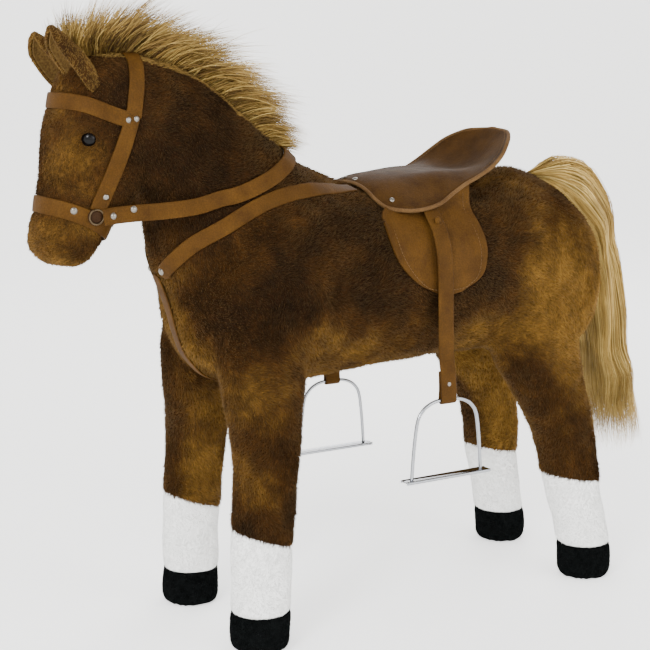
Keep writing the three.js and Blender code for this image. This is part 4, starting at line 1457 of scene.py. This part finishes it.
def add_mane(skin):
    """Upright hair in soft locks, swept back along the neck and forward over the brow."""
    rng = np.random.default_rng(71)
    line = smooth_line(CREST, CREST_STEPS)
    for name, (count, share, thin, thick, material) in MANE_LAYERS.items():
        paths, y = mane_paths(rng, skin, line, count, share)
        radii = rng.uniform(thin, thick, count) * MM
        at_reins = y > MANE_END
        for label, chosen in ((name, ~at_reins), (name + "_end", at_reins)):
            hair = strands(label, paths[chosen], radii[chosen], flat=0.6, sides=3)
            finish_piece(hair, "horse", material, ["mane"] if label == "mane_hair" else ())
            if label.endswith("_end"):
                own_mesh(hair)


# Down the tail: y and z on its outer and inner side, and its half width, in millimetres.
TAIL = np.array([
    (190, 500, 204, 472, 12), (215, 510, 222, 460, 22), (248, 509, 240, 436, 29), (284, 495, 258, 412, 32),
    (307, 467, 271, 385, 33), (320, 422, 280, 360, 34), (330, 377, 287, 335, 34), (339, 328, 293, 300, 35),
    (350, 272, 300, 262, 35), (363, 222, 307, 216, 34), (376, 184, 315, 180, 31), (386, 148, 322, 140, 27),
    (390, 126, 328, 118, 24)], float)
TAIL_PARTS = 3
TAIL_STRANDS = 1550
TAIL_STEPS = 20


def add_tail():
    """A full switch of wavy hair that opens from its root like a fountain."""
    rng = np.random.default_rng(81)
    line = smooth_line(TAIL, 120)
    shares = np.linspace(0, 1, len(line))
    count = TAIL_STRANDS
    for part in range(TAIL_PARTS):
        a = rng.uniform(-1, 1, count)
        b = rng.uniform(-1, 1, count)
        a, b = a * np.sqrt(1 - 0.5 * b ** 2), b * np.sqrt(1 - 0.5 * a ** 2)
        begin = np.where(rng.random(count) < 0.45, rng.uniform(0, 0.10, count), rng.uniform(0.0, 0.42, count))
        end = begin + rng.uniform(0.55, 0.95, count)
        end = np.clip(end, 0.5, rng.uniform(0.84, 1.0, count))
        t = np.linspace(0, 1, TAIL_STEPS)[None]
        s = begin[:, None] + (end - begin)[:, None] * t
        outer_y, outer_z, inner_y, inner_z, half = (np.interp(s, shares, values) for values in line.T)
        spread = 0.35 + 0.65 * fade(s - begin[:, None], 0.0, 0.12)
        drift = 0.14 * waves(np.stack([a, b, 0 * a], 1), 1.1, 82)[:, None] * t
        drift = drift + 0.10 * rng.normal(size=(count, 1)) * t
        u = np.clip((a[:, None] + drift) * spread, -1.05, 1.08)
        v = np.clip(b[:, None] * spread + 0.10 * np.sin(s * 9 + a[:, None] * 5), -1.08, 1.08)
        y = (outer_y + inner_y) / 2 + (outer_y - inner_y) / 2 * u
        z = (outer_z + inner_z) / 2 + (outer_z - inner_z) / 2 * u
        points = np.stack([half * v * MM, y * MM + FEET_MIDDLE, z * MM], axis=2)
        swirl = np.stack([waves(points.reshape(-1, 3), 0.060, 83 + k) for k in range(3)], axis=1)
        points = points + swirl.reshape(points.shape) * (4.6 * MM * np.sqrt(t)[..., None])
        radii = rng.uniform(0.40, 0.85, count) * MM
        hair = strands(f"tail_hair_{part + 1}", points, radii, flat=0.6, sides=3)
        finish_piece(hair, "tail", "tail", ["tail"])


# ---------- put together ----------


def cover_tree(things):
    """One search tree over everything that lies on the coat."""
    merged = bmesh.new()
    for thing in things:
        merged.from_mesh(thing.data)
    tree = BVHTree.FromBMesh(merged)
    merged.free()
    return tree


def dress_hidden_frame():
    for name, node in frame["nodes"].items():
        look = "steel" if name.endswith("_tube") else "wood" if name.endswith("_foot_board") else None
        if look:
            node.data.materials.clear()
            node.data.materials.append(MATERIALS[look])


add_camera()
add_stage()
add_floor()
make_materials()
dress_hidden_frame()
whole = body_union()
sculpt(whole)
skin = Skin(whole)
before_tack = set(bpy.data.objects)
add_bridle(skin)
add_breastplate(skin)
add_reins(skin)
add_seat()
add_pad()
add_flaps(skin)
add_leathers()
add_eyes(skin)
tack = [thing for thing in bpy.data.objects if thing not in before_tack]
cover = cover_tree(tack)
sections = split_legs(whole)
bpy.data.objects.remove(whole)
finish_sections(sections)
lay_coat(sections, cover)
add_ears(cover)
add_mane(skin)
add_tail()
